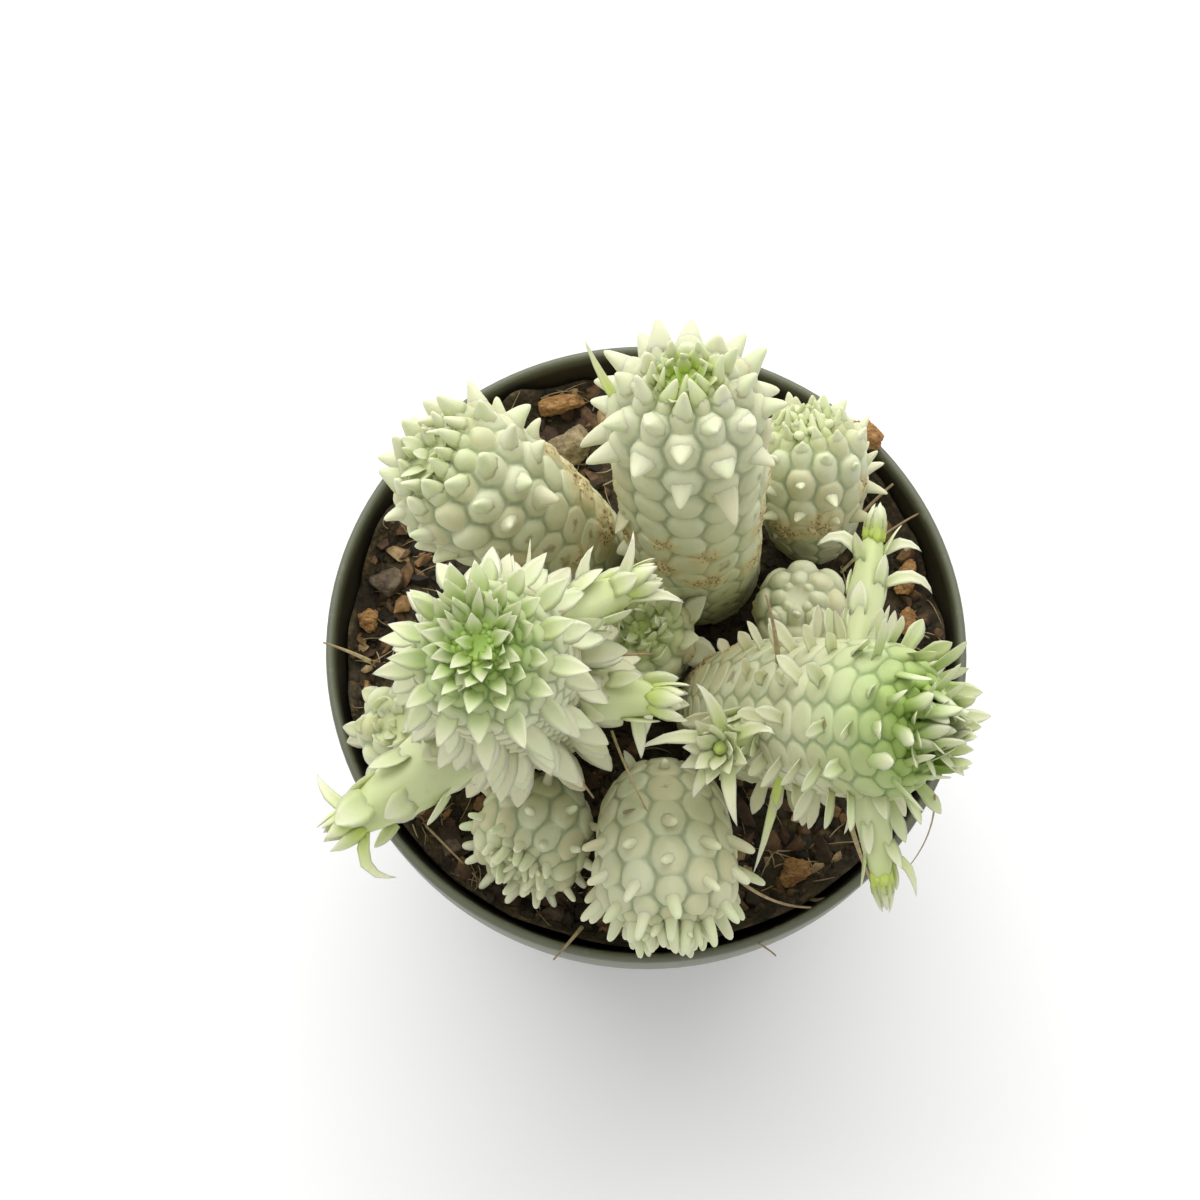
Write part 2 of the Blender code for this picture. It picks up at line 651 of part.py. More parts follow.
def build_soil(parts, cutters):
    """The peat: a plug that fills the pot, with an uneven top, a hole for each stem's rooted end
    and a hollow under each loose piece."""
    low = BASE_THICKNESS + SOIL_GAP
    top = SOIL_LEVEL - SOIL_DIP
    reach = inner_wall(top) - SOIL_GAP
    profile = [(reach * number / SOIL_RINGS, top) for number in range(SOIL_RINGS)]
    profile += [
        (reach, top),
        (inner_wall(low + BASE_ROUND) - SOIL_GAP, low + BASE_ROUND),
        (inner_wall(low) - BASE_ROUND - SOIL_GAP, low),
        (0.0, low),
    ]
    plain = turned("soil_plain", profile, SOIL_SIDES, cutters)
    graph = bpy.context.evaluated_depsgraph_get()
    bm = bmesh.new()
    bm.from_mesh(plain.evaluated_get(graph).to_mesh())
    bpy.data.objects.remove(plain, do_unlink=True)
    bmesh.ops.scale(bm, vec=(1 / MM, 1 / MM, 1 / MM), verts=bm.verts)
    for vert in bm.verts:
        if vert.co.z > top - SOIL_RELIEF:
            at_edge = math.hypot(vert.co.x, vert.co.y) > reach * (1 - 0.5 / SOIL_RINGS)
            vert.co.z += soil_height(vert.co.x, vert.co.y) * (SOIL_EDGE_RELIEF if at_edge else 1.0)
    bmesh.ops.recalc_face_normals(bm, faces=bm.faces)
    boolean(piece("soil", bm, parts, "soil"), cutters, "DIFFERENCE")


def main():
    clear_scene()
    parts = collection("potted_corncob_euphorbia")
    cutters = collection("cutters")
    build_pot(parts)
    for number, (name, (*place, kind)) in enumerate(LOOSE.items()):
        rough = LUMP_ROUGHNESS[kind]
        piece(name, lump(*place, rough, number), parts, kind)
        cutter(name + "_seat", lump(*place, rough, number, HOLE_GAP), cutters)
    for number, (name, stem) in enumerate(STEMS.items()):
        build_stem(name, stem, parts, STEM_SEED + number)
        plug_cutter(name, stem, cutters)
    build_soil(parts, cutters)


main()
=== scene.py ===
"""The looks of a potted corncob euphorbia, laid out as an add-on and run as a script: a moulded
nursery pot, peat with its chips and fibres, ten tubercled stems with leafy heads, dry thorns and
roots, and a plain studio. Pieces are modelled in millimetres and finished in metres."""

import json
import math
import random

import bmesh
import bpy
from bpy.props import FloatProperty, FloatVectorProperty, IntProperty, PointerProperty
from mathutils import Matrix, Vector, noise

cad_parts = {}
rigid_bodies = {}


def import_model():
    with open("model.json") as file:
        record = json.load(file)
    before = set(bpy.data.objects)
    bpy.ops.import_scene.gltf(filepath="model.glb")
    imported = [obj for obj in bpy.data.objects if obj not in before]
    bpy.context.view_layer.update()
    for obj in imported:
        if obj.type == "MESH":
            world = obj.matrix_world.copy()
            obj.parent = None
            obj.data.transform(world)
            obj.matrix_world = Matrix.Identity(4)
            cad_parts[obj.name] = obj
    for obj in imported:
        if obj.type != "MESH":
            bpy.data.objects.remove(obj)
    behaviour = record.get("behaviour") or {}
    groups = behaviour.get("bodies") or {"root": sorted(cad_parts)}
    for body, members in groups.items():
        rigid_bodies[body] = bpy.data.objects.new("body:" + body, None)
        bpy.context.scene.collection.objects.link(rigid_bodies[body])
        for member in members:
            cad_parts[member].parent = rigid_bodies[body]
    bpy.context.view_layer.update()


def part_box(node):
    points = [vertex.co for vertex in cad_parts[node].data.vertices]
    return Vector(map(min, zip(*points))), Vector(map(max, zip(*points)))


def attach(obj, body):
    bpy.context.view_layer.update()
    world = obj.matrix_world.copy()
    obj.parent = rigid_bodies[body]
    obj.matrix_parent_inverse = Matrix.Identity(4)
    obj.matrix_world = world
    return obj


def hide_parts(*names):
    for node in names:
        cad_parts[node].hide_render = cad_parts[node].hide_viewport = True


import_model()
MM = 0.001
UP = Vector((0.0, 0.0, 1.0))

bl_info = {
    "name": "Potted corncob euphorbia",
    "version": (1, 0, 0),
    "blender": (4, 5, 0),
    "location": "View3D > Sidebar > Euphorbia",
    "description": "Builds a tubercled succulent with variegated leaves in a nursery pot",
    "category": "Object",
}


def linear(code):
    """A colour given as sRGB hex, as linear red, green and blue."""
    parts = [int(code[start:start + 2], 16) / 255 for start in (1, 3, 5)]
    return [part / 12.92 if part <= 0.04045 else ((part + 0.055) / 1.055) ** 2.4 for part in parts]


def per_mm(size):
    """The scale that gives a pattern on Object coordinates features of this many millimetres."""
    return 1.0 / (size * MM)


# Pot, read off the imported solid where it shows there, and in millimetres where it doesn't: its
# wall, the heights where the wall's inner and outer faces are drawn, its roundings and drafts
_, POT_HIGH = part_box("pot")
SOIL_LOW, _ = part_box("soil")
WALL = 1.1
BASE_THICKNESS = 1.8
INNER_HEIGHTS = (12.0, 30.0, 48.0, 62.0, 70.0)
OUTER_HEIGHTS = (40.0, 20.0)
UNDER_COLLAR = 12.0
FOOT_ROUNDING = 1.5
COLLAR_ROUNDING = 0.5
COLLAR_BOW = 0.12
COLLAR_DRAFT = 0.35
WALL_DRAFT = 0.05
BASE_RECESS = ((24.5, 0.0), (24.0, 0.3), (14.0, 0.3), (13.5, 0.0))
POT_STEPS = 128
POT_SHARP = 34.0
DRAIN_HOLES = 6
DRAIN_RING = 19.0
DRAIN_RADIUS = 3.0
DRAIN_SIDES = 40
SPIN_WELD = 0.001

# The peat's level and how far it dips, the bank along the wall with its foot and width, then each
# kind of unevenness: the millimetres it is drawn over, its own seed and its height
SOIL_LEVEL = 69.6
SOIL_DIP = 0.6
EDGE_BANK = 3.6
BANK_FOOT = 36.8
BANK_WIDTH = 2.8
BANK_KEPT = 0.8
HOLLOWS = (7.0, 2.0, 0.9)
CLODS = (2.6, 5.0, 0.45)
GRAINS = (0.9, 9.0, 0.22)
GRAINS_SUNK = 0.15
CALM_INSIDE = 0.9
CALM_WIDTH = 3.4
SOIL_RINGS = 86
SOIL_STEPS = 300
SOIL_GAP = 0.3
# How the bed's lower edge is rounded: the height over its base, and the gap to the pot's wall
SOIL_FOOT = ((1.6, 0.4), (0.0, 2.0))

# Each stem's middle line as in the solids: where it leaves the soil, its bend and its growing
# tip, then its radius there and at the soil. Rows and ribs are at their true size, closer than in
# the solids. Relief is given at the soil and at the head. The leaves have a shape, a length, a
# width and how far below the dome they stand in full. Lean is to the tip in degrees, curl a share
# of the length and size a share of the leaf, each at the growing point and at the lowest leaf.
# The inner leaves are counted apart, and spread from the tip's direction by these degrees. End is
# the share of the radius where the net stops, sparse the share of tubercles with no leaf, and
# stray how many degrees a leaf's lean may differ.
# Green and yellow say how strong the crown's colour is, and reach how far from the tip it goes.
USUAL = dict(
    size=(0.66, 1.0), curl=(0.0, -0.1), spread=(14, 56), inner_leaf="finger", end=0.14,
    sparse=0.03, stray=14,
)
STEMS = {
    "stem_back": dict(
        foot=(7.0, 12.4), bend=(5.8, 8.9, 92.0), tip=(3.9, 18.7, 120.0), radius=8.5, base=1.0,
        ribs=12, row=4.5, relief=(0.36, 2.0), dome=7.4, turn=0.2, leaf="cone", length=4.4,
        width=3.7, leafy=3.4, lean=(52, -30), curl=(0.1, -0.35), size=(0.78, 1.0), inner=13,
        inner_leaf="lance", spread=(8, 46), stubs=0.08, green=1.0, yellow=0.8, reach=2.6,
        age=0.5, end=0.3, sparse=0.1, stray=20,
    ),
    "stem_back_left": dict(
        foot=(-10.4, 14.0), bend=(-11.1, 10.4, 86.0), tip=(-26.8, 15.5, 104.0), radius=8.4,
        base=0.96, ribs=12, row=3.8, relief=(0.36, 1.8), dome=7.0, turn=0.5, leaf="cone",
        length=4.2, width=3.7, leafy=5.6, lean=(30, 26), curl=(0.1, -0.35), size=(0.85, 0.95),
        inner=8, inner_leaf="scale", spread=(20, 60), stubs=0.1, green=0.3, yellow=0.6,
        reach=6.0, age=0.5, end=0.34, sparse=0.12, stray=24,
    ),
    "stem_back_right": dict(
        foot=(22.9, 18.9), bend=(22.0, 18.2, 80.0), tip=(20.8, 25.2, 89.5), radius=6.9, base=0.88,
        ribs=12, row=3.9, relief=(0.4, 1.4), dome=5.6, turn=0.1, leaf="cone", length=3.6,
        width=2.3, leafy=7.0, lean=(30, 20), curl=(0.1, -0.2), inner=12, stubs=0.5, green=0.35,
        yellow=0.9, reach=4.0, age=0.8, end=0.24, stray=22,
    ),
    "stem_left": dict(
        foot=(-14.5, -8.5), bend=(-13.8, -14.6, 102.0), tip=(-19.2, -16.0, 129.6), radius=8.6,
        base=0.74, ribs=14, row=3.2, relief=(0.5, 0.7), dome=7.4, turn=0.0, leaf="lance",
        length=6.4, width=2.9, leafy=25.0, lean=(-4, -40), curl=(-0.05, -0.2), size=(0.66, 1.05),
        inner=14, inner_leaf="lance", spread=(30, 66), stubs=0.5, green=0.95, yellow=0.3,
        reach=6.5, age=0.4,
    ),
    "stem_right": dict(
        foot=(11.6, -8.5), bend=(11.9, -12.8, 90.0), tip=(32.2, -19.4, 107.0), radius=9.2,
        base=0.8, ribs=12, row=2.9, relief=(0.4, 0.8), dome=7.6, turn=0.3, leaf="strap",
        length=6.0, width=2.2, leafy=18.0, lean=(50, 12), curl=(-0.05, -0.1), size=(1.0, 0.8),
        inner=18, inner_leaf="strap", spread=(14, 60), stubs=0.6, green=0.85, yellow=0.35,
        reach=11.0, age=0.15, sparse=0.16, stray=28,
    ),
    "stem_front": dict(
        foot=(2.3, -22.9), bend=(1.6, -24.8, 88.0), tip=(2.5, -39.4, 86.3), radius=8.1, base=0.82,
        ribs=12, row=3.1, relief=(0.6, 1.4), dome=5.5, turn=0.25, leaf="finger", length=4.4,
        width=1.8, leafy=3.4, lean=(12, 34), curl=(0.0, 0.05), size=(0.9, 1.0), inner=11,
        stubs=0.25, green=0.15, yellow=0.5, reach=5.0, age=1.0,
    ),
    "stem_front_left": dict(
        foot=(-14.1, -23.8), bend=(-13.3, -24.2, 78.0), tip=(-16.4, -31.0, 81.0), radius=6.9,
        base=0.85, ribs=12, row=3.6, relief=(0.6, 1.3), dome=4.6, turn=0.0, leaf="finger",
        length=3.1, width=1.5, leafy=2.4, lean=(10, 25), size=(0.9, 1.0), inner=7, stubs=0.2,
        green=0.1, yellow=0.4, reach=4.0, age=1.0, end=0.26, sparse=0.2,
    ),
    "stem_far_left": dict(
        foot=(-29.8, -12.4), bend=(-29.5, -13.4, 76.0), tip=(-31.4, -13.9, 86.0), radius=5.9,
        base=0.86, ribs=8, row=4.0, relief=(0.7, 1.4), dome=5.0, turn=0.4, leaf="scale",
        length=3.4, width=2.8, leafy=5.0, lean=(25, 5), inner=6, inner_leaf="scale",
        spread=(20, 60), stubs=0.5, green=0.2, yellow=0.9, reach=4.0, age=1.0, end=0.34,
        sparse=0.2,
    ),
    "stem_middle": dict(
        foot=(0.3, 0.2), bend=(0.0, -1.1, 76.0), tip=(-0.8, -1.7, 87.4), radius=6.0, base=0.86,
        ribs=10, row=3.7, relief=(0.6, 1.0), dome=5.2, turn=0.0, leaf="lance", length=4.8,
        width=3.3, leafy=1.6, lean=(30, 5), inner=12, inner_leaf="lance", spread=(14, 58),
        stubs=0.1, green=0.5, yellow=0.9, reach=3.6, age=0.8, end=0.3, size=(0.9, 1.0),
    ),
    "stem_inner_right": dict(
        foot=(22.4, 3.0), bend=(21.0, 2.4, 76.0), tip=(19.4, 3.2, 84.6), radius=5.6, base=0.88,
        ribs=8, row=4.4, relief=(0.6, 1.3), dome=4.8, turn=0.3, leaf="cone", length=2.4,
        width=3.2, leafy=0.0, lean=(10, 20), inner=0, stubs=0.0, green=0.0, yellow=0.9,
        reach=4.0, age=0.6, end=0.2, sparse=0.7,
    ),
}
STEM_SEED = 100

# Side shoots: the stem, a point on its middle line, the shoot's bend and tip, its radius, how
# many scale leaves it bears, and how far its bud has opened
SHOOTS = [
    ("stem_left", (-17.0, -15.6, 104.5), (-26.6, -26.6, 108.5), (-36.6, -32.4, 107.2),
     (4.4, 13, 0.1)),
    ("stem_left", (-17.0, -15.0, 116.5), (-9.4, -8.4, 119.5), (-0.2, -6.0, 121.0), (3.2, 9, 0.25)),
    ("stem_left", (-16.0, -14.6, 106.5), (-7.0, -16.2, 111.5), (2.8, -18.2, 112.6), (3.5, 8, 0.25)),
    ("stem_right", (24.0, -16.2, 101.5), (25.6, -4.0, 101.0), (27.8, 8.2, 103.0), (2.5, 12, 0.0)),
    ("stem_right", (15.5, -13.6, 94.0), (10.5, -19.5, 97.0), (7.8, -21.4, 103.4), (2.7, 16, 0.9)),
    ("stem_right", (25.0, -17.0, 102.5), (26.4, -28.0, 99.5), (27.8, -38.2, 95.6), (2.4, 11, 0.0)),
]

# Long single leaves and spikes: the stem, root, bend and tip, the width at the middle, and how
# yellow-green the leaf is
BLADES = [
    ("stem_back", (-1.5, 15.5, 112.0), (-5.5, 19.0, 116.5), (-8.0, 23.5, 122.0), 1.3, 1.0),
    ("stem_left", (-34.2, -29.8, 107.8), (-37.6, -28.4, 108.4), (-38.8, -25.0, 106.4), 1.6, 0.3),
    ("stem_left", (-32.6, -31.4, 107.6), (-34.4, -37.4, 107.4), (-29.4, -36.8, 104.6), 1.5, 0.6),
    ("stem_left", (-7.8, -8.4, 119.5), (-8.4, -4.6, 122.0), (-6.6, -2.4, 122.4), 1.7, 0.1),
    ("stem_left", (-4.6, -7.4, 120.2), (-2.2, -5.2, 123.6), (-2.2, -1.4, 124.6), 1.5, 0.1),
    ("stem_left", (-3.4, -8.0, 120.0), (0.6, -7.4, 122.4), (3.6, -8.6, 120.4), 1.7, 0.2),
    ("stem_left", (-2.0, -17.6, 111.0), (-1.2, -21.8, 110.5), (-1.2, -23.4, 107.0), 1.7, 0.3),
    ("stem_left", (-14.5, -9.5, 119.0), (-14.0, -4.8, 120.0), (-13.8, -1.0, 121.0), 0.9, 0.8),
    ("stem_right", (25.6, 2.8, 102.0), (23.4, 6.4, 105.4), (20.2, 4.0, 102.6), 1.7, 0.1),
    ("stem_right", (28.0, 3.0, 101.8), (30.6, 5.6, 103.2), (33.2, 3.6, 101.6), 1.5, 0.1),
    ("stem_right", (28.2, -0.6, 101.2), (32.4, 1.6, 103.4), (34.4, -1.4, 100.4), 1.7, 0.1),
    ("stem_right", (9.0, -20.4, 101.0), (3.0, -19.0, 105.0), (-1.6, -21.6, 104.0), 1.9, 0.3),
    ("stem_right", (9.2, -21.0, 100.0), (8.8, -27.5, 104.0), (10.2, -30.0, 100.0), 1.9, 0.3),
    ("stem_right", (9.6, -19.6, 101.0), (13.0, -18.4, 106.5), (14.6, -20.4, 106.0), 2.0, 0.4),
    ("stem_right", (8.8, -19.4, 101.5), (7.0, -15.5, 107.0), (5.2, -14.0, 106.0), 1.9, 0.4),
    ("stem_right", (8.0, -21.4, 100.6), (5.2, -25.6, 103.0), (5.0, -26.6, 99.8), 1.8, 0.4),
    ("stem_right", (27.6, -33.0, 97.4), (31.0, -33.0, 98.5), (31.6, -37.6, 95.4), 1.2, 0.5),
    ("stem_right", (16.4, -19.6, 97.0), (14.6, -29.0, 93.6), (12.6, -33.8, 88.0), 1.2, 0.95),
    ("stem_right", (-0.4, -12.6, 96.0), (-0.2, -16.6, 101.0), (-0.6, -18.4, 97.0), 2.0, 0.0),
]

# Crusts of cork: the stem, the share of its length, the direction round it in degrees from +X,
# and the reach in millimetres
CORK = [
    ("stem_back", 0.50, -165, 5.6), ("stem_back", 0.66, -175, 4.4), ("stem_back", 0.36, -150, 5.2),
    ("stem_back", 0.52, -15, 4.5), ("stem_back", 0.64, -5, 3.0), ("stem_back", 0.36, -30, 4.0),
    ("stem_back", 0.48, -115, 3.6), ("stem_back", 0.60, -112, 2.6), ("stem_back", 0.56, -78, 3.0),
    ("stem_back", 0.42, -80, 3.4),
    ("stem_back_left", 0.60, 20, 5.4), ("stem_back_left", 0.42, 0, 5.6),
    ("stem_back_left", 0.74, 40, 4.2), ("stem_back_left", 0.66, -70, 3.8),
    ("stem_back_left", 0.52, -40, 3.4),
    ("stem_back_right", 0.62, -80, 4.0), ("stem_back_right", 0.72, -30, 3.0),
    ("stem_back_right", 0.50, -120, 4.0),
    ("stem_right", 0.30, 140, 4.0), ("stem_right", 0.42, 120, 3.0),
    ("stem_front", 0.70, -100, 2.6), ("stem_front", 0.55, -60, 2.6),
    ("stem_front", 0.45, -120, 3.0),
    ("stem_inner_right", 0.75, -100, 4.0), ("stem_inner_right", 0.60, 170, 3.0),
    ("stem_middle", 0.80, 20, 2.6), ("stem_middle", 0.70, -20, 2.4),
    ("stem_left", 0.35, -90, 3.5),
]

GOLDEN_ANGLE = math.pi * (3.0 - math.sqrt(5.0))

# The net of tubercles, laid as in the solids
PLAIN_RINGS = 2
SHEET_WELD = 0.00001
PLUG_DEPTH = 11.0
PLUG_TAPER = 0.7
FIRST_ROW = -1.8
PLAIN_HEIGHT = 1.0
ZIGZAG = 0.13
SWELL_HEIGHT = 0.55
SWELL_POWER = 0.8
CROWN_START = 0.9
TIP_HEIGHT = -0.6
RELIEF_SPREAD = (0.8, 1.2)
RELIEF_RISE = (0.08, 0.22)
RELIEF_GROWTH = 2.6
RELIEF_OVER_DOME = 0.8
DRAWN_IN = 0.42
INSET = 0.01

# How a tubercle rises: shares of its relief and of its outline, ring after ring
CUSHION = ((0.6, 0.94), (0.95, 0.76))
CUSHION_TOP = 1.04
# The seam between two tubercles of one rib lies this share of their relief above the others, and
# its relief grows by this share of theirs
SEAM_LIFT = 0.9
SEAM_GROWTH = 0.4
# How deep in a seam the painted shade is drawn: at the foot, between tubercles of a rib,
# on a shoulder
FOOT_SEAM = 0.3
RIB_SEAM = 0.32
SHOULDER_SEAM = 0.2
# How leafy a grown tubercle looks on its shoulder and at its top
SHOULDER_LEAF = 0.14
TOP_LEAF = 0.3
# How often a tubercle of a fully aged stem has a leaf scar, how strong the scar is, and its share
# on the shoulder
SCAR_CHANCE = 0.5
SCAR_STRENGTH = (0.55, 1.0)
SCAR_SPREAD = 0.5
# How far the skin swells and sinks, and a cork crust rises, over patches of these millimetres
SWELLS = ((0.16, 2.6), (0.07, 0.9))
CRUST_RISE = 0.45
CRUST_PATCH = 0.55
CRUST_LEVEL = 0.6
CRUST_PACE = 2.0
# The crown's green: it fades from this share of the dome below the tip, over this many
# millimetres past its reach, and is this much stronger at its middle
CROWN_CORE = 0.3
CROWN_FADE = 3.0
CROWN_STRENGTH = 1.8
# The share of the stem where its skin begins to age and to darken with painted shade, and how
# fast it then does
AGE_START = 0.1
AGE_PACE = 1.2

# Leaf shapes: place along the leaf, then width and thickness as shares of the leaf's own
LEAF_SHAPES = {
    "lance": ((0.0, 0.5, 1.1), (0.12, 0.74, 1.0), (0.3, 1.0, 0.9), (0.5, 0.94, 0.75),
              (0.7, 0.62, 0.6), (0.87, 0.28, 0.42)),
    "strap": ((0.0, 0.85, 1.1), (0.18, 0.8, 1.0), (0.4, 0.9, 0.9), (0.62, 1.0, 0.72),
              (0.8, 0.74, 0.55), (0.93, 0.34, 0.4)),
    "finger": ((0.0, 1.15, 1.1), (0.22, 1.0, 1.0), (0.45, 0.86, 0.9), (0.68, 0.78, 0.8),
               (0.86, 0.62, 0.64), (0.96, 0.34, 0.4)),
    "cone": ((0.0, 1.0, 1.0), (0.2, 0.9, 0.9), (0.42, 0.72, 0.7), (0.64, 0.53, 0.52),
             (0.83, 0.34, 0.36), (0.94, 0.18, 0.22)),
    "scale": ((0.0, 0.8, 1.1), (0.2, 0.96, 1.0), (0.42, 1.0, 0.8), (0.64, 0.82, 0.62),
              (0.83, 0.48, 0.46), (0.94, 0.2, 0.3)),
}
# A leaf's section, half width and half thickness being 1: a channel over a keel, or round
CHANNELLED = ((1.0, 0.6), (0.5, 0.1), (0.0, -0.2), (-0.5, 0.1), (-1.0, 0.6), (-0.6, -0.4),
              (0.0, -1.0), (0.6, -0.4))
ROUND = ((1.0, 0.0), (0.71, 0.71), (0.0, 0.95), (-0.71, 0.71), (-1.0, 0.0), (-0.71, -0.71),
         (0.0, -1.0), (0.71, -0.71))
SECTIONS = {"lance": CHANNELLED, "strap": CHANNELLED, "scale": CHANNELLED, "finger": ROUND,
            "cone": ROUND}
# A leaf's thickness as a share of its width
THICKNESS = {"lance": 0.3, "strap": 0.36, "scale": 0.26, "finger": 0.85, "cone": 0.74}
LEAF_TIP_RISE = 0.05
LEAF_BEND = 0.55
BLADE_THICKNESS = 0.36
BLADE_TINT = 0.3

# How the leaves stand on a head. Their depth runs from 0 at the tip through DOME_FOOT at the
# dome's foot to 1 at the lowest leaf. Past these depths they grow to their full size and turn to
# scales. Then how stubs differ, what of a leaf's width stays when it is small, how far it may
# overlap its neighbours, and how fast it ages.
DOME_FOOT = 0.55
SIZE_DEPTH = 0.7
SCALE_DEPTH = 0.66
SCALE_WIDER = 1.22
STUB_SIZE = 0.62
STUB_SCALES = 0.5
STUB_SCAR = 0.8
STUB_SCAR_CHANCE = 0.2
WIDTH_KEPT = 0.6
CROWDED = 1.15
LEAF_AGE = 2.0
# A leaf's root, as a share of the relief and in millimetres below that
ROOT_HEIGHT = 0.62
ROOT_SUNK = 0.3
# What leaves differ by: shares of length and width, sideways shares of their direction and of
# where they face, a share of their curl, and how much of their age shows
LENGTH_SPREAD = (0.76, 1.14)
WIDTH_SPREAD = (0.88, 1.1)
WAY_SPREAD = 0.28
FACING_SPREAD = 0.45
CURL_SPREAD = 0.12
AGE_SPREAD = (0.2, 1.0)
# The inner leaves stand within this share of the radius and a little past it. Then where the
# first of them is, how deep they sit, their least size and what they gain outwards, their width
# as a share of a leaf's and at most of the stem's radius, and what they differ by
INNER_SHARE = 0.3
INNER_REACH = 1.08
INNER_START = 0.3
INNER_SUNK = 0.2
INNER_SIZE = (0.62, 0.34)
INNER_WIDTH = (0.85, 0.3)
INNER_SPREAD = 6
INNER_LENGTH_SPREAD = (0.85, 1.1)
INNER_CURL_SPREAD = 0.1

# A shoot's radius along its length, and the ridges round it
SHOOT_PROFILE = ((0.0, 0.8), (0.12, 0.92), (0.3, 1.02), (0.5, 1.0), (0.68, 0.84), (0.82, 0.6),
                 (0.93, 0.32), (0.99, 0.12))
SHOOT_SIDES = 10
SHOOT_RIB = 0.12
SHOOT_TWIST = 0.5
SHOOT_GREEN = (0.2, 0.6)
SHOOT_TINT = 0.2
# The scale leaves along a shoot: the shares of its length where they start and how far they run,
# then what their length, width, lean, curl and colour may be
SHOOT_LEAVES = (0.16, 0.66)
SHOOT_LEAF_LENGTH = (3.4, 5.0)
SHOOT_LEAF_WIDTH = (0.75, 1.05)
SHOOT_LEAF_LEAN = (0.1, 0.4)
SHOOT_LEAF_CURL = (-0.15, 0.2)
SHOOT_LEAF_TURN = 0.2
SHOOT_LEAF_GREEN = (0.15, 0.35)
SHOOT_LEAF_YELLOW = 0.7
SHOOT_LEAF_TINT = 0.8
# Where they root, as a share of the shoot's radius, which narrows past this share of its length
SHOOT_LEAF_ROOT = 0.82
SHOOT_NARROWING = (0.9, 0.55)
# The bud: its leaves, how many more an open one shows, how deep it starts in the shoot and how
# much less so when open, then its leaves' length, what the last of them lack, width and thickness
BUD_LEAVES = 8
BUD_MORE = 5
BUD_DEPTH = (3.8, 2.0)
BUD_STEP = 0.1
BUD_LENGTH = 5.2
BUD_SHORTER = 1.8
BUD_WIDTH = 2.4
BUD_THICKNESS = 0.8
# How far from the middle its leaves root, lean, spread and close, how green they are, and how much
# an open bud changes that
BUD_ROOT = (0.42, 0.12)
BUD_LEAN = 0.14
BUD_SPREAD = (1.25, 0.95)
BUD_CLOSING = 0.26
BUD_GREEN = (0.95, 0.7)
BUD_TINT = 0.1

# Dry thorns, hairs and bare roots: points along each in millimetres, then root and tip radius
DRY_BITS = [
    ((-33.0, -11.6, 107.0), (-35.5, -11.0, 110.0), (-38.0, -10.6, 111.5), 0.28, 0.10),
    ((-12.0, -18.6, 98.0), (-9.4, -21.8, 95.0), (-6.8, -24.9, 92.5), 0.30, 0.12),
    ((-11.4, -13.6, 113.0), (-5.4, -13.0, 115.2), (0.2, -12.6, 113.5), 0.34, 0.14),
    ((15.4, -10.2, 101.5), (14.8, -7.6, 107.0), (13.4, -4.6, 110.5), 0.36, 0.12),
    ((24.2, -27.8, 93.0), (25.8, -31.0, 88.0), (27.8, -34.0, 83.5), 0.36, 0.14),
    ((33.8, -26.0, 99.0), (34.8, -29.0, 92.0), (32.6, -31.6, 84.0), 0.14, 0.06),
    ((-4.6, -16.4, 92.0), (-2.6, -22.5, 93.0), (1.0, -28.6, 91.0), 0.20, 0.08),
    ((10.4, -32.0, 80.5), (15.2, -35.8, 77.2), (20.8, -35.6, 75.9), 0.26, 0.14),
    ((-8.4, -37.8, 74.0), (-10.6, -40.8, 76.4), (-12.0, -42.3, 76.3), 0.30, 0.12),
    ((13.0, -39.2, 73.0), (15.0, -40.6, 76.2), (16.2, -41.8, 76.0), 0.20, 0.10),
    ((24.6, 13.6, 70.4), (30.6, 20.4, 71.8), (33.6, 22.2, 74.6), 0.34, 0.18),
    ((26.6, 11.0, 70.2), (31.0, 15.4, 72.2), (37.0, 18.2, 74.0), 0.26, 0.14),
    ((28.8, 24.4, 73.0), (27.6, 20.0, 73.6), (25.0, 14.6, 70.6), 0.16, 0.10),
    ((20.8, -33.4, 70.6), (22.8, -35.0, 71.6), (27.6, -30.8, 70.4), 0.30, 0.18),
    ((-30.6, -22.4, 70.2), (-27.4, -25.6, 72.0), (-21.6, -31.4, 70.4), 0.22, 0.12),
]

# Loose pieces: the middle, half sizes along X, Y and Z, turn about Z in degrees, and kind
LOOSE = {
    "bark_rim": ((30.1, 28.3, 76.75), (2.8, 1.9, 1.35), -46, "bark"),
    "bark_back": ((-11.6, 35.4, 71.0), (3.6, 1.8, 1.7), 14, "bark"),
    "bark_left": ((-37.3, 4.4, 70.3), (1.6, 2.0, 1.5), 10, "bark"),
    "bark_far_left": ((-37.0, -6.6, 69.9), (0.8, 3.2, 1.0), 11, "bark"),
    "bark_right": ((35.5, 10.2, 70.4), (2.9, 1.6, 1.4), 68, "bark"),
    "bark_inner_right": ((35.4, 4.0, 70.1), (1.6, 1.9, 1.4), 0, "bark"),
    "bark_front_right": ((19.6, -29.8, 69.9), (2.6, 2.1, 1.5), 30, "bark"),
    "pumice_back": ((-10.2, 29.2, 70.9), (4.2, 3.0, 2.3), 20, "pumice"),
    "stone_left": ((-35.0, 9.8, 70.4), (2.8, 2.2, 1.8), 30, "stone"),
    "stone_front_left": ((-25.6, -26.8, 70.1), (2.1, 1.7, 1.5), 15, "stone"),
    "stone_front": ((-12.0, -35.4, 70.0), (1.9, 1.4, 1.2), 0, "stone"),
}
LUMP_FINENESS = 5
LUMP_KNOCKS = 1.7
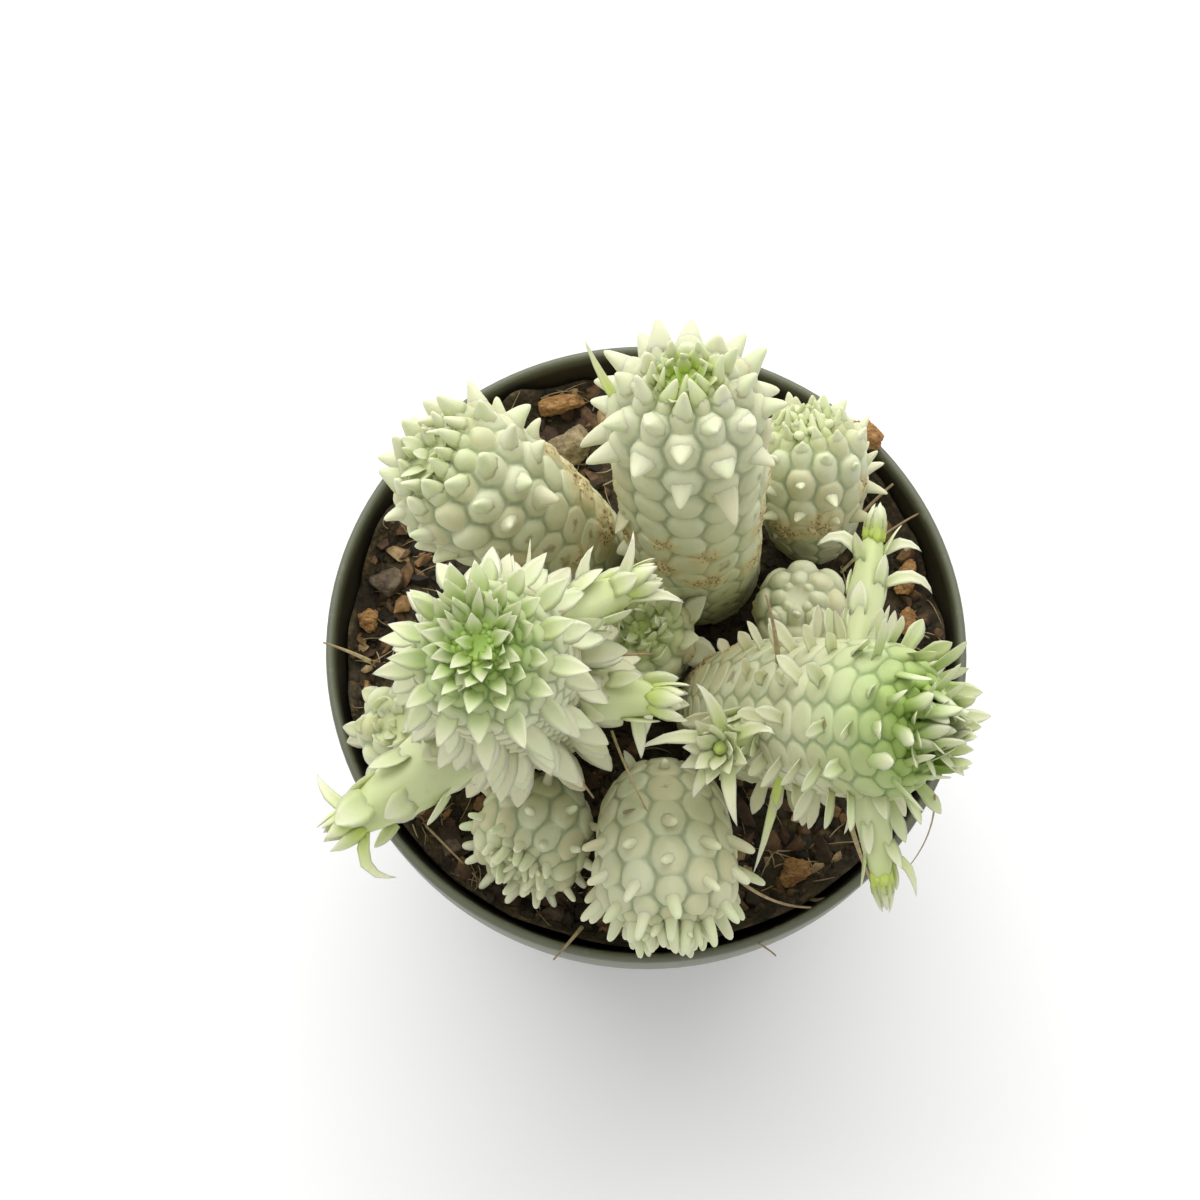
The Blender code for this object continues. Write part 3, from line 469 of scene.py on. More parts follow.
# Fibres, finer across a lump than along it, and its pits, with their depths as shares of the
# roughness
LUMP_FIBRES = Vector((3.0, 9.0, 9.0))
LUMP_FIBRE_DEPTH = 0.35
LUMP_PITS = 14
LUMP_PIT_DEPTH = 0.25
LUMP_SHRINK = 0.96
LUMP_ROUGHNESS = {"bark": 0.22, "pumice": 0.16, "stone": 0.1}
LUMP_FACETS = {"bark": 11, "pumice": 14, "stone": 18}
LUMP_GRAIN = {"bark": (1.0, 2.6, 1.6), "pumice": (1.0, 1.0, 1.0), "stone": (1.0, 1.0, 1.0)}
# How far a broken face lies from the middle of a lump whose reach is 1
BREAK_DEPTH = (0.62, 0.86)
# The cut tubercle on a head, with a hollow where its tip was
CUT_SPOT = Vector((-24.2, 12.9, 102.0))
CUT_DEPTH = -0.9

# Crumbs and flakes: their sizes, how much larger some are and how rare those are, then the shares
# of the size along each half, their tone, how high they lie and how uneven they are
LITTER_SEED = 7
CRUMB_SIZE = (0.25, 0.55)
CRUMB_LARGER = (2.2, 3)
CRUMB_HALVES = ((0.9, 1.5), (0.7, 1.1))
CRUMB_THICKNESS = 0.75
CRUMB_TONE = (1.3, 0.8)
CRUMB_SEAT = 0.25
CRUMB_ROUGHNESS = 0.6
CRUMB_SHARP = 50.0
FLAKE_SIZE = (0.7, 1.1)
FLAKE_LARGER = (1.3, 2)
FLAKE_HALVES = ((1.0, 1.6), (0.5, 0.8), (0.3, 0.5))
FLAKE_TONES = (0.4, 0.5, 0.58, 0.66, 0.72, 0.78, 0.86, 0.96)
FLAKE_ROOM = 1.2
FLAKE_SEAT = 0.35
FLAKE_ROUGHNESS = 0.5
FLAKE_SHARP = 40.0
CRUMB_FACES = 5
CRUMB_KNOCKS = 1.9
CRUMB_TILT = 0.5
TONE_PATCHES = (0.06, 2.0)
NOISE_REACH = 90
# Fibres: room, length, how far they wander, how high they lie and arch, and their radii
FIBRE_ROOM = 1.0
FIBRE_LENGTH = (2.0, 6.5)
FIBRE_WANDER = 0.5
FIBRE_WALL_GAP = 0.8
FIBRE_SEAT = 0.3
FIBRE_ARCH = 1.0
FIBRE_RADIUS = (0.06, 0.13)
FIBRE_TIP = 0.05


class PotSettings(bpy.types.PropertyGroup):
    rim_radius: FloatProperty(
        name="Rim radius", description="Half the width across the rim's outer edge",
        default=POT_HIGH.x, min=0.02, unit="LENGTH",
    )
    height: FloatProperty(
        name="Height", description="From the flat base to the top of the rim",
        default=POT_HIGH.z, min=0.02, unit="LENGTH",
    )
    rim_width: FloatProperty(
        name="Rim width", description="Thickness of the lip, seen from above",
        default=1.2 * MM, min=0.0005, unit="LENGTH",
    )
    rim_depth: FloatProperty(
        name="Collar depth", description="Height of the collar under the lip",
        default=9.0 * MM, min=0.002, unit="LENGTH",
    )
    base_radius: FloatProperty(
        name="Base radius", description="Half the width of the base",
        default=30.0 * MM, min=0.01, unit="LENGTH",
    )
    colour: FloatVectorProperty(
        name="Plastic", description="Colour of the moulded plastic",
        default=linear("#60634F"), size=3, min=0.0, max=1.0, subtype="COLOR",
    )


class SoilSettings(bpy.types.PropertyGroup):
    crumbs: IntProperty(
        name="Crumbs", description="How many crumbs of peat lie on the surface",
        default=1700, min=0,
    )
    flakes: IntProperty(
        name="Flakes", description="How many flakes of bark lie among the crumbs",
        default=320, min=0,
    )
    fibres: IntProperty(
        name="Fibres", description="How many fine fibres and rootlets lie on the surface",
        default=260, min=0,
    )
    peat: FloatVectorProperty(
        name="Peat", description="Colour of damp peat",
        default=linear("#40351F"), size=3, min=0.0, max=1.0, subtype="COLOR",
    )
    bark: FloatVectorProperty(
        name="Bark", description="Colour of the lighter bark flakes",
        default=linear("#A6804C"), size=3, min=0.0, max=1.0, subtype="COLOR",
    )


class StemSettings(bpy.types.PropertyGroup):
    fineness: IntProperty(
        name="Fineness", description="Subdivision levels of the stems",
        default=1, min=0, max=2,
    )
    skin: FloatVectorProperty(
        name="Skin", description="Colour of the younger skin",
        default=linear("#CFD2B0"), size=3, min=0.0, max=1.0, subtype="COLOR",
    )
    # Real ageing and painted shade: the skin darker and yellower near the soil
    old_and_shaded_skin: FloatVectorProperty(
        name="Old skin", description="Colour of the skin near the soil",
        default=linear("#B5B78A"), size=3, min=0.0, max=1.0, subtype="COLOR",
    )
    cream: FloatVectorProperty(
        name="Cream", description="Colour of the leaves without green in them",
        default=linear("#DADBBC"), size=3, min=0.0, max=1.0, subtype="COLOR",
    )
    crown: FloatVectorProperty(
        name="Crown", description="Colour of the green heads",
        default=linear("#7FA052"), size=3, min=0.0, max=1.0, subtype="COLOR",
    )
    young: FloatVectorProperty(
        name="Young growth", description="Colour of the yellow-green tips",
        default=linear("#B6CB5A"), size=3, min=0.0, max=1.0, subtype="COLOR",
    )


class StudioSettings(bpy.types.PropertyGroup):
    lens: FloatProperty(
        name="Lens", description="Focal length of the camera",
        default=67.9, min=10.0, unit="CAMERA",
    )
    sky: FloatProperty(
        name="Sky", description="Strength of the light from all round", default=0.76, min=0.0,
    )
    key: FloatProperty(
        name="Key", description="Power of the soft light above and behind the pot",
        default=18.5, min=0.0, unit="POWER",
    )


def add(tree, kind, inputs=None, stops=None, out=None, **settings):
    """Adds a node with its settings, and sets or links each of the inputs named or numbered. It
    returns the node, or the one output that is asked for."""
    node = tree.nodes.new(kind)
    for name, value in settings.items():
        setattr(node, name, value)
    for name, value in (inputs or {}).items():
        socket = node.inputs[name]
        if isinstance(value, bpy.types.NodeSocket):
            tree.links.new(value, socket)
        else:
            socket.default_value = value
    if stops:
        band = node.color_ramp
        while len(band.elements) < len(stops):
            band.elements.new(0.5)
        for element, (place, colour) in zip(band.elements, stops):
            element.position = place
            element.color = (*colour, 1.0)
    return node if out is None else node.outputs[out]


def new_material(name):
    """A material whose shader and object coordinates are returned with its node tree."""
    made = bpy.data.materials.new(name)
    made.use_nodes = True
    tree = made.node_tree
    coords = add(tree, "ShaderNodeTexCoord", out="Object")
    return made, tree, tree.nodes["Principled BSDF"], coords


def opaque(colour):
    """A colour with full alpha, as the nodes take it."""
    return (*colour, 1.0)


def piece(name, bm, material, replaced=None, smooth_angle=180.0):
    """The bmesh as a finished piece of the object, brought from millimetres to metres."""
    bmesh.ops.scale(bm, vec=(MM, MM, MM), verts=bm.verts)
    mesh = bpy.data.meshes.new(name)
    bm.to_mesh(mesh)
    bm.free()
    made = bpy.data.objects.new(name, mesh)
    bpy.context.scene.collection.objects.link(made)
    mesh.materials.append(material)
    mesh.shade_smooth()
    if smooth_angle < 180.0:
        mesh.set_sharp_from_angle(angle=math.radians(smooth_angle))
    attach(made, "root")
    if replaced:
        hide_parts(replaced)
    return made


# What each vertex of a stem or leaf carries for its colour: place along the leaf and towards its
# edge, depth in a seam for painted shade, green, leaf scar, cork, a tone of its own, yellow in the
# green, and age, which also paints shade low down
VALUES = ("leaf", "rim", "seam", "crown", "scar", "cork", "tint", "yellow", "age_and_shade")


def floats(bm, *names):
    """A number for each vertex under each of these names, which the materials read."""
    layers = bm.verts.layers.float
    return [layers.get(name) or layers.new(name) for name in names]


def notes(bm):
    """The layers of VALUES under their names."""
    return dict(zip(VALUES, floats(bm, *VALUES)))


def plastic(settings):
    """Polypropylene, injection moulded: satin, with the mould's fine even grain, a slight
    unevenness in the grey-green pigment and painted shade, near black, on the wall inside."""
    made, tree, shader, coords = new_material("polypropylene_moulded")
    # The mould's grain is about 0.1 mm, and is drawn coarser so that it shows
    clouds, dust, grain = (
        add(tree, "ShaderNodeTexNoise", {"Vector": coords, "Scale": per_mm(size), "Detail": detail},
            out="Fac")
        for size, detail in ((14.0, 4.0), (1.6, 6.0), (0.35, 2.0))
    )
    base = Vector(settings.colour)
    parts = add(tree, "ShaderNodeSeparateXYZ", {"Vector": coords}).outputs
    squares = [
        add(tree, "ShaderNodeMath", {0: parts[axis], 1: 2.0}, out=0, operation="POWER")
        for axis in ("X", "Y")
    ]
    total = add(tree, "ShaderNodeMath", {0: squares[0], 1: squares[1]}, out=0, operation="ADD")
    across = add(tree, "ShaderNodeMath", {0: total, 1: 0.5}, out=0, operation="POWER")
    top = settings.rim_radius - settings.rim_width
    slope = (top - settings.base_radius + WALL * MM) / (settings.height - BASE_THICKNESS * MM)
    wall = add(
        tree, "ShaderNodeMath", {0: parts["Z"], 1: slope, 2: top - slope * settings.height}, out=0,
        operation="MULTIPLY_ADD",
    )
    depth = add(tree, "ShaderNodeMath", {0: across, 1: wall}, out=0, operation="SUBTRACT")
    inside, low, speck, rough = (
        add(tree, "ShaderNodeMapRange",
            {"Value": value, "From Min": first, "From Max": last, "To Min": least, "To Max": most},
            out="Result")
        for value, first, last, least, most in (
            (depth, 0.6 * MM, 0.2 * MM, 0.0, 1.0),
            (parts["Z"], settings.height - 0.6 * MM, settings.height - 2.0 * MM, 0.0, 0.96),
            (dust, 0.60, 0.78, 0.0, 0.4),
            (clouds, 0.0, 1.0, 0.36, 0.5),
        )
    )
    # Painted shade: the wall inside, below the lip, is darkened to near black
    wall_shade = add(tree, "ShaderNodeMath", {0: inside, 1: low}, out=0, operation="MULTIPLY")
    colour = opaque(base * 0.9)
    for share, tone in (
        (clouds, base * 1.1), (speck, linear("#8B8C80")), (wall_shade, linear("#2B261A")),
    ):
        colour = add(
            tree, "ShaderNodeMix", {0: share, 6: colour, 7: opaque(tone)}, out=2, data_type="RGBA"
        )
    tree.links.new(colour, shader.inputs["Base Color"])
    tree.links.new(rough, shader.inputs["Roughness"])
    bump = add(
        tree, "ShaderNodeBump", {"Strength": 0.25, "Distance": 0.03 * MM, "Height": grain},
        out="Normal",
    )
    tree.links.new(bump, shader.inputs["Normal"])
    shader.inputs["IOR"].default_value = 1.49
    return made


def peat(settings):
    """Damp milled peat: near black in some patches and brown to tan in others, with fibres too fine
    to model, drawn coarse enough to show."""
    made, tree, shader, coords = new_material("peat_milled_damp")
    clods = add(
        tree, "ShaderNodeTexNoise",
        {"Vector": coords, "Scale": per_mm(3.2), "Detail": 8.0, "Roughness": 0.7}, out="Fac",
    )
    base = Vector(settings.peat)
    tone = add(
        tree, "ShaderNodeValToRGB", {"Fac": clods}, out="Color",
        stops=((0.32, base * 0.15), (0.54, base), (0.68, base * 2.6), (0.80, settings.bark)),
    )
    tree.links.new(tone, shader.inputs["Base Color"])
    shader.inputs["Roughness"].default_value = 0.92
    # Milled fibres are about 0.2 mm across, and are drawn as crumbs four times that
    milled = add(
        tree, "ShaderNodeTexVoronoi", {"Vector": coords, "Scale": per_mm(0.8), "Randomness": 1.0},
        out="Distance",
    )
    bump = add(
        tree, "ShaderNodeBump", {"Strength": 0.8, "Distance": 0.4 * MM, "Height": milled},
        out="Normal",
    )
    tree.links.new(bump, shader.inputs["Normal"])
    return made


def litter(settings):
    """Crumbs and flakes broken from peat and bark: each has its own tone, from wet black through
    red-brown to dry tan, with a fibrous grain."""
    made, tree, shader, coords = new_material("bark_and_peat_broken")
    tint = add(tree, "ShaderNodeAttribute", out="Fac", attribute_name="tint")
    base = Vector(settings.peat)
    bark_tone = Vector(settings.bark)
    tone = add(
        tree, "ShaderNodeValToRGB", {"Fac": tint}, out="Color",
        stops=(
            (0.0, base * 0.3), (0.42, base), (0.58, linear("#4A3623")), (0.74, linear("#705434")),
            (0.88, bark_tone), (1.0, linear("#C9B083")),
        ),
    )
    grain = add(
        tree, "ShaderNodeTexNoise", {"Vector": coords, "Scale": per_mm(0.7), "Detail": 6.0},
        out="Fac",
    )
    shade = add(
        tree, "ShaderNodeValToRGB", {"Fac": grain}, out="Color",
        stops=((0.3, (0.25, 0.22, 0.2)), (0.7, (1.0, 1.0, 1.0))),
    )
    shaded = add(
        tree, "ShaderNodeMix", {0: 0.75, 6: tone, 7: shade}, out=2, data_type="RGBA",
        blend_type="MULTIPLY",
    )
    tree.links.new(shaded, shader.inputs["Base Color"])
    shader.inputs["Roughness"].default_value = 0.85
    bump = add(
        tree, "ShaderNodeBump", {"Strength": 0.7, "Distance": 0.15 * MM, "Height": grain},
        out="Normal",
    )
    tree.links.new(bump, shader.inputs["Normal"])
    return made


def lump_material(kind):
    """Bark torn along its fibres, pumice full of gas pits, or a dull worn stone."""
    looks = {
        "bark": ("pine_bark_torn", "#5C452C", "#9C723F", "#C8A169", 0.8, 0.6),
        "pumice": ("pumice_crushed", "#5A4D38", "#8E7E5C", "#B3A47E", 1.1, 0.6),
        "stone": ("grit_water_worn", "#3B3024", "#5E4F3D", "#82735C", 1.3, 0.35),
    }
    name, dark, middle, light, size, strength = looks[kind]
    made, tree, shader, coords = new_material(name)
    stretched = add(
        tree, "ShaderNodeMapping",
        {"Vector": coords, "Rotation": (0.0, 0.0, 0.6), "Scale": LUMP_GRAIN[kind]}, out="Vector",
    )
    grain = add(
        tree, "ShaderNodeTexNoise",
        {"Vector": stretched, "Scale": per_mm(size), "Detail": 9.0, "Roughness": 0.65}, out="Fac",
    )
    tone = add(
        tree, "ShaderNodeValToRGB", {"Fac": grain}, out="Color",
        stops=((0.3, linear(dark)), (0.52, linear(middle)), (0.75, linear(light))),
    )
    tree.links.new(tone, shader.inputs["Base Color"])
    shader.inputs["Roughness"].default_value = 0.85
    bump = add(
        tree, "ShaderNodeBump", {"Strength": strength, "Distance": 0.3 * MM, "Height": grain},
        out="Normal",
    )
    tree.links.new(bump, shader.inputs["Normal"])
    return made


def skin(settings):
    """The living skin of a succulent stem and its leaves: waxy, pale and a little translucent,
    with grey-green painted shade in the seams between tubercles, green at the growing points, cream
    where the variegation has no green, darker and yellower near the soil for age and painted shade,
    with brown leaf scars and tan cork on the older parts."""
    made, tree, shader, coords = new_material("succulent_skin_waxy")
    leaf, rim, seam, crown, scar, cork, tint, yellow, age_and_shade = (
        add(tree, "ShaderNodeAttribute", out="Fac", attribute_name=name) for name in VALUES
    )
    # The wax bloom's grains are far under 0.1 mm, and are drawn at 0.4 mm so that they show
    clouds, mottle, wax = (
        add(tree, "ShaderNodeTexNoise", {"Vector": coords, "Scale": per_mm(size), "Detail": 5.0},
            out="Fac")
        for size in (6.0, 1.1, 0.4)
    )
    patchy, pitted = (
        add(tree, "ShaderNodeMath", {0: mottle, 1: value}, out=0, operation="ADD")
        for value in (cork, scar)
    )
    # Each share: what it is read from, where it begins and is full, and its most
    pale, beige, on_leaf, whiter, edge, tip, seam_shade, stained, corky, speckled, scarred = (
        add(tree, "ShaderNodeMapRange",
            {"Value": value, "From Min": low, "From Max": high, "To Max": most}, out="Result",
            interpolation_type="SMOOTHSTEP")
        for value, low, high, most in (
            (clouds, 0.42, 0.64, 0.6), (tint, 0.45, 1.0, 0.6), (leaf, 0.05, 0.6, 1.0),
            (tint, 0.3, 1.0, 1.0), (rim, 0.3, 1.0, 0.5), (leaf, 0.12, 0.9, 0.9),
            (seam, 0.36, 1.0, 0.62), (patchy, 0.58, 0.92, 0.8), (patchy, 0.92, 1.1, 0.8),
            (wax, 0.5, 0.6, 0.9), (pitted, 1.0, 1.3, 0.6),
        )
    )
    edge, browned, leaf_age_and_shade = (
        add(tree, "ShaderNodeMath", {0: first, 1: second}, out=0, operation="MULTIPLY")
        for first, second in ((edge, on_leaf), (corky, speckled), (age_and_shade, 0.9))
    )
    fading = add(tree, "ShaderNodeMath", {0: edge, 1: tip}, out=0, operation="MAXIMUM")
    keeping = add(tree, "ShaderNodeMath", {0: 1.0, 1: fading}, out=0, operation="SUBTRACT")
    greenness = add(
        tree, "ShaderNodeMath", {0: crown, 1: keeping}, out=0, operation="MULTIPLY", use_clamp=True
    )
    # Each finish is laid in layers, the first of them everywhere
    finishes = []
    for first, *layers in (
        # The body darkens towards the soil for its age and for painted shade
        (settings.skin, (age_and_shade, settings.old_and_shaded_skin), (pale, linear("#D2D6B8")),
         (beige, linear("#C8C19B"))),
        (settings.cream, (whiter, linear("#D3DAB4")), (leaf_age_and_shade, linear("#CDC3A2"))),
        (settings.crown, (yellow, settings.young)),
        # Painted shade for the seams, a darker green in the crown
        (linear("#7C8A66"), (crown, linear("#5A7E3C"))),
        (linear("#C9BA8B"), (browned, linear("#8A6C34"))),
    ):
        colour = opaque(first)
        for share, tone in layers:
            colour = add(
                tree, "ShaderNodeMix", {0: share, 6: colour, 7: opaque(tone)}, out=2,
                data_type="RGBA",
            )
        finishes.append(colour)
    body, cream, green, shadowed, crust = finishes
    colour = body
    for share, finish in (
        (on_leaf, cream), (greenness, green), (seam_shade, shadowed), (stained, crust),
        (browned, opaque(linear("#86662F"))), (scarred, opaque(linear("#7D6236"))),
    ):
        colour = add(
            tree, "ShaderNodeMix", {0: share, 6: colour, 7: finish}, out=2, data_type="RGBA"
        )
    tree.links.new(colour, shader.inputs["Base Color"])
    rough = add(
        tree, "ShaderNodeMapRange", {"Value": mottle, "To Min": 0.45, "To Max": 0.65}, out="Result"
    )
    tree.links.new(rough, shader.inputs["Roughness"])
    shader.inputs["Subsurface Weight"].default_value = 0.3
    shader.inputs["Subsurface Radius"].default_value = (1.0, 1.1, 0.5)
    shader.inputs["Subsurface Scale"].default_value = 0.6 * MM
    shader.inputs["IOR"].default_value = 1.42
    shader.inputs["Specular IOR Level"].default_value = 0.3
    relief = add(
        tree, "ShaderNodeMath", {0: wax, 1: 0.5, 2: corky}, out=0, operation="MULTIPLY_ADD"
    )
    bump = add(
        tree, "ShaderNodeBump", {"Strength": 0.5, "Distance": 0.1 * MM, "Height": relief},
        out="Normal",
    )
    tree.links.new(bump, shader.inputs["Normal"])
    return made


def straw():
    """Dry flower stalks and bare roots: straw brown, darker at the root end, rough."""
    made, tree, shader, coords = new_material("dry_stalk_woody")
    along = add(tree, "ShaderNodeAttribute", out="Fac", attribute_name="along")
    grain = add(
        tree, "ShaderNodeTexNoise", {"Vector": coords, "Scale": per_mm(0.9), "Detail": 4.0},
        out="Fac",
    )
    tone = add(
        tree, "ShaderNodeValToRGB", {"Fac": along}, out="Color",
        stops=((0.0, linear("#A79A6B")), (0.5, linear("#B7A37C")), (1.0, linear("#96805F"))),
    )
    shade = add(
        tree, "ShaderNodeValToRGB", {"Fac": grain}, out="Color",
        stops=((0.35, (0.5, 0.45, 0.4)), (0.6, (1.0, 1.0, 1.0))),
    )
    colour = add(
        tree, "ShaderNodeMix", {0: 0.6, 6: tone, 7: shade}, out=2, data_type="RGBA",
        blend_type="MULTIPLY",
    )
    tree.links.new(colour, shader.inputs["Base Color"])
    shader.inputs["Roughness"].default_value = 0.75
    return made


class Axis:
    """The middle line of a stem, shoot or leaf: a smooth bend from root to tip. It carries a side
    direction along with it, so that the rings round it don't twist."""

    def __init__(self, root, bend, tip, steps=40):
        root, bend, tip = Vector(root), Vector(bend), Vector(tip)
        self.steps = steps
        self.points = []
        for step in range(steps + 1):
            t = step / steps
            self.points.append(root * (1 - t) ** 2 + bend * (2 * t * (1 - t)) + tip * t**2)
        self.marks = [0.0]
        for here, after in zip(self.points, self.points[1:]):
            self.marks.append(self.marks[-1] + (after - here).length)
        self.length = self.marks[-1]
        self.along = [(bend - root).normalized()]
        for step in range(1, steps):
            self.along.append((self.points[step + 1] - self.points[step - 1]).normalized())
        self.along.append((tip - bend).normalized())
        side = self.along[0].cross(Vector((0.0, 1.0, 0.0))).normalized()
        self.sides = [side]
        for before, after in zip(self.along, self.along[1:]):
            side = before.rotation_difference(after) @ side
            self.sides.append(side.normalized())

    def at(self, distance):
        """Point, side, other side and direction here; it runs on straight past its ends."""
        if distance <= 0.0:
            step, share = 0, 0.0
            point = self.points[0] + self.along[0] * distance
        elif distance >= self.length:
            step, share = self.steps - 1, 1.0
            point = self.points[-1] + self.along[-1] * (distance - self.length)
        else:
            step = next(n for n in range(self.steps) if self.marks[n + 1] >= distance)
            share = (distance - self.marks[step]) / (self.marks[step + 1] - self.marks[step])
            point = self.points[step].lerp(self.points[step + 1], share)
        along = self.along[step].lerp(self.along[step + 1], share).normalized()
        side = self.sides[step].lerp(self.sides[step + 1], share)
        side = (side - along * side.dot(along)).normalized()
        return point, side, along.cross(side), along


def loft(bm, rings):
    """A closed skin over the rings, which all have as many points: a sheet rolled round until its
    sides meet, with both ends filled. Each vertex keeps the number of its ring and its place
    round it in the layers that are returned, with the last ring's face and every new face."""
    place = bm.verts.layers.int.get("place") or bm.verts.layers.int.new("place")
    level = bm.verts.layers.int.get("level") or bm.verts.layers.int.new("level")
    around, last = len(rings[0]), len(rings) - 1
    sheet = bmesh.ops.create_grid(bm, x_segments=around, y_segments=last, size=1.0)["verts"]
    for number, vert in enumerate(sheet):
        vert[level] = number // (around + 1)
        vert[place] = number % (around + 1) % around
        vert.co = rings[vert[level]][vert[place]]
    faces = list(dict.fromkeys(face for vert in sheet for face in vert.link_faces))
    edges = list(dict.fromkeys(edge for face in faces for edge in face.edges))
    bmesh.ops.remove_doubles(bm, verts=sheet, dist=SHEET_WELD)
    rims = [edge for edge in edges if edge.is_valid and edge.is_boundary]
    rims += [edge for edge in bm.edges if edge.is_boundary and edge not in rims]
    ends = bmesh.ops.holes_fill(bm, edges=rims, sides=0)["faces"]
    faces = [face for face in bm.faces if face.verts[0][level] >= 0]
    bmesh.ops.recalc_face_normals(bm, faces=faces)
    return place, level, [face for face in ends if face.verts[0][level] == last]


def half_rows(length, stem):
    """Distance along the axis and radius at each half row of tubercles. The rows keep their
    height up the body and close up in step with the radius over the dome."""
    radius, row, dome = stem["radius"], stem["row"], stem["dome"]
    body = length - dome
    rows = []
    distance = FIRST_ROW
    while distance < body:
        share = min(1.0, max(0.0, distance) / (SWELL_HEIGHT * body))
        width = radius * (stem["base"] + (1 - stem["base"]) * share**SWELL_POWER)
        rows.append((distance, width))
        distance += 0.5 * row * width / radius
    angle = math.asin(min(CROWN_START, (distance - body) / dome))
    while math.cos(angle) > stem["end"]:
        rows.append((body + dome * math.sin(angle), radius * math.cos(angle)))
        pace = math.hypot(radius * math.sin(angle), dome * math.cos(angle))
        angle += 0.5 * row * math.cos(angle) / pace
    return rows


def ring(axis, distance, radius, count, turn, zigzag, number):
    """Points round the axis. Where they zigzag, each lies to one side of its even place, and the
    next ring's to the other, which draws the tubercles' six-sided outlines."""
    point, side, other, _ = axis.at(distance)
    points = []
    for place in range(count):
        shift = zigzag if (place + number) % 2 else -zigzag
        angle = math.tau * (place + shift) / count + turn
        points.append(point + (side * math.cos(angle) + other * math.sin(angle)) * radius)
    return points


def join_half_cells(bm, place, level, ribs, last):
    """Takes out the edges that cut each tubercle in two, which leaves six-sided cells, and
    returns the edges that part two tubercles of one rib."""
    across, between = [], []
    for edge in bm.edges:
        low, high = edge.verts
        number = low[level]
        if number != high[level] or not PLAIN_RINGS < number < last:
            continue
        places = sorted((low[place], high[place]))
        rib = places[1] if places == [0, ribs - 1] else places[0]
        (between if (rib + number) % 2 else across).append(edge)
    bmesh.ops.dissolve_edges(bm, edges=across, use_verts=False, use_face_split=False)
    return between


class Cell:
    """One tubercle: its face, where it lies on the stem, and the directions at its middle."""

    def __init__(self, face, along, distance, share):
        self.face, self.distance, self.share = face, distance, share
        self.centre = face.calc_center_median()
        self.normal = face.normal.copy()
        self.along = along
        self.across = along.cross(self.normal).normalized()
        self.up = self.normal.cross(self.across).normalized()
        self.hollow = False

    def top(self, height=CUSHION_TOP):
        """A point over the tubercle's middle, at this share of its relief."""
        return self.centre + self.normal * self.relief * height + self.along * self.lift * height


def growth_share(axis, stem, distance):
    """The share of the growth to full relief that tubercles have this far up the stem."""
    return min(1.0, max(0.0, distance) / (axis.length - stem["dome"])) ** RELIEF_GROWTH


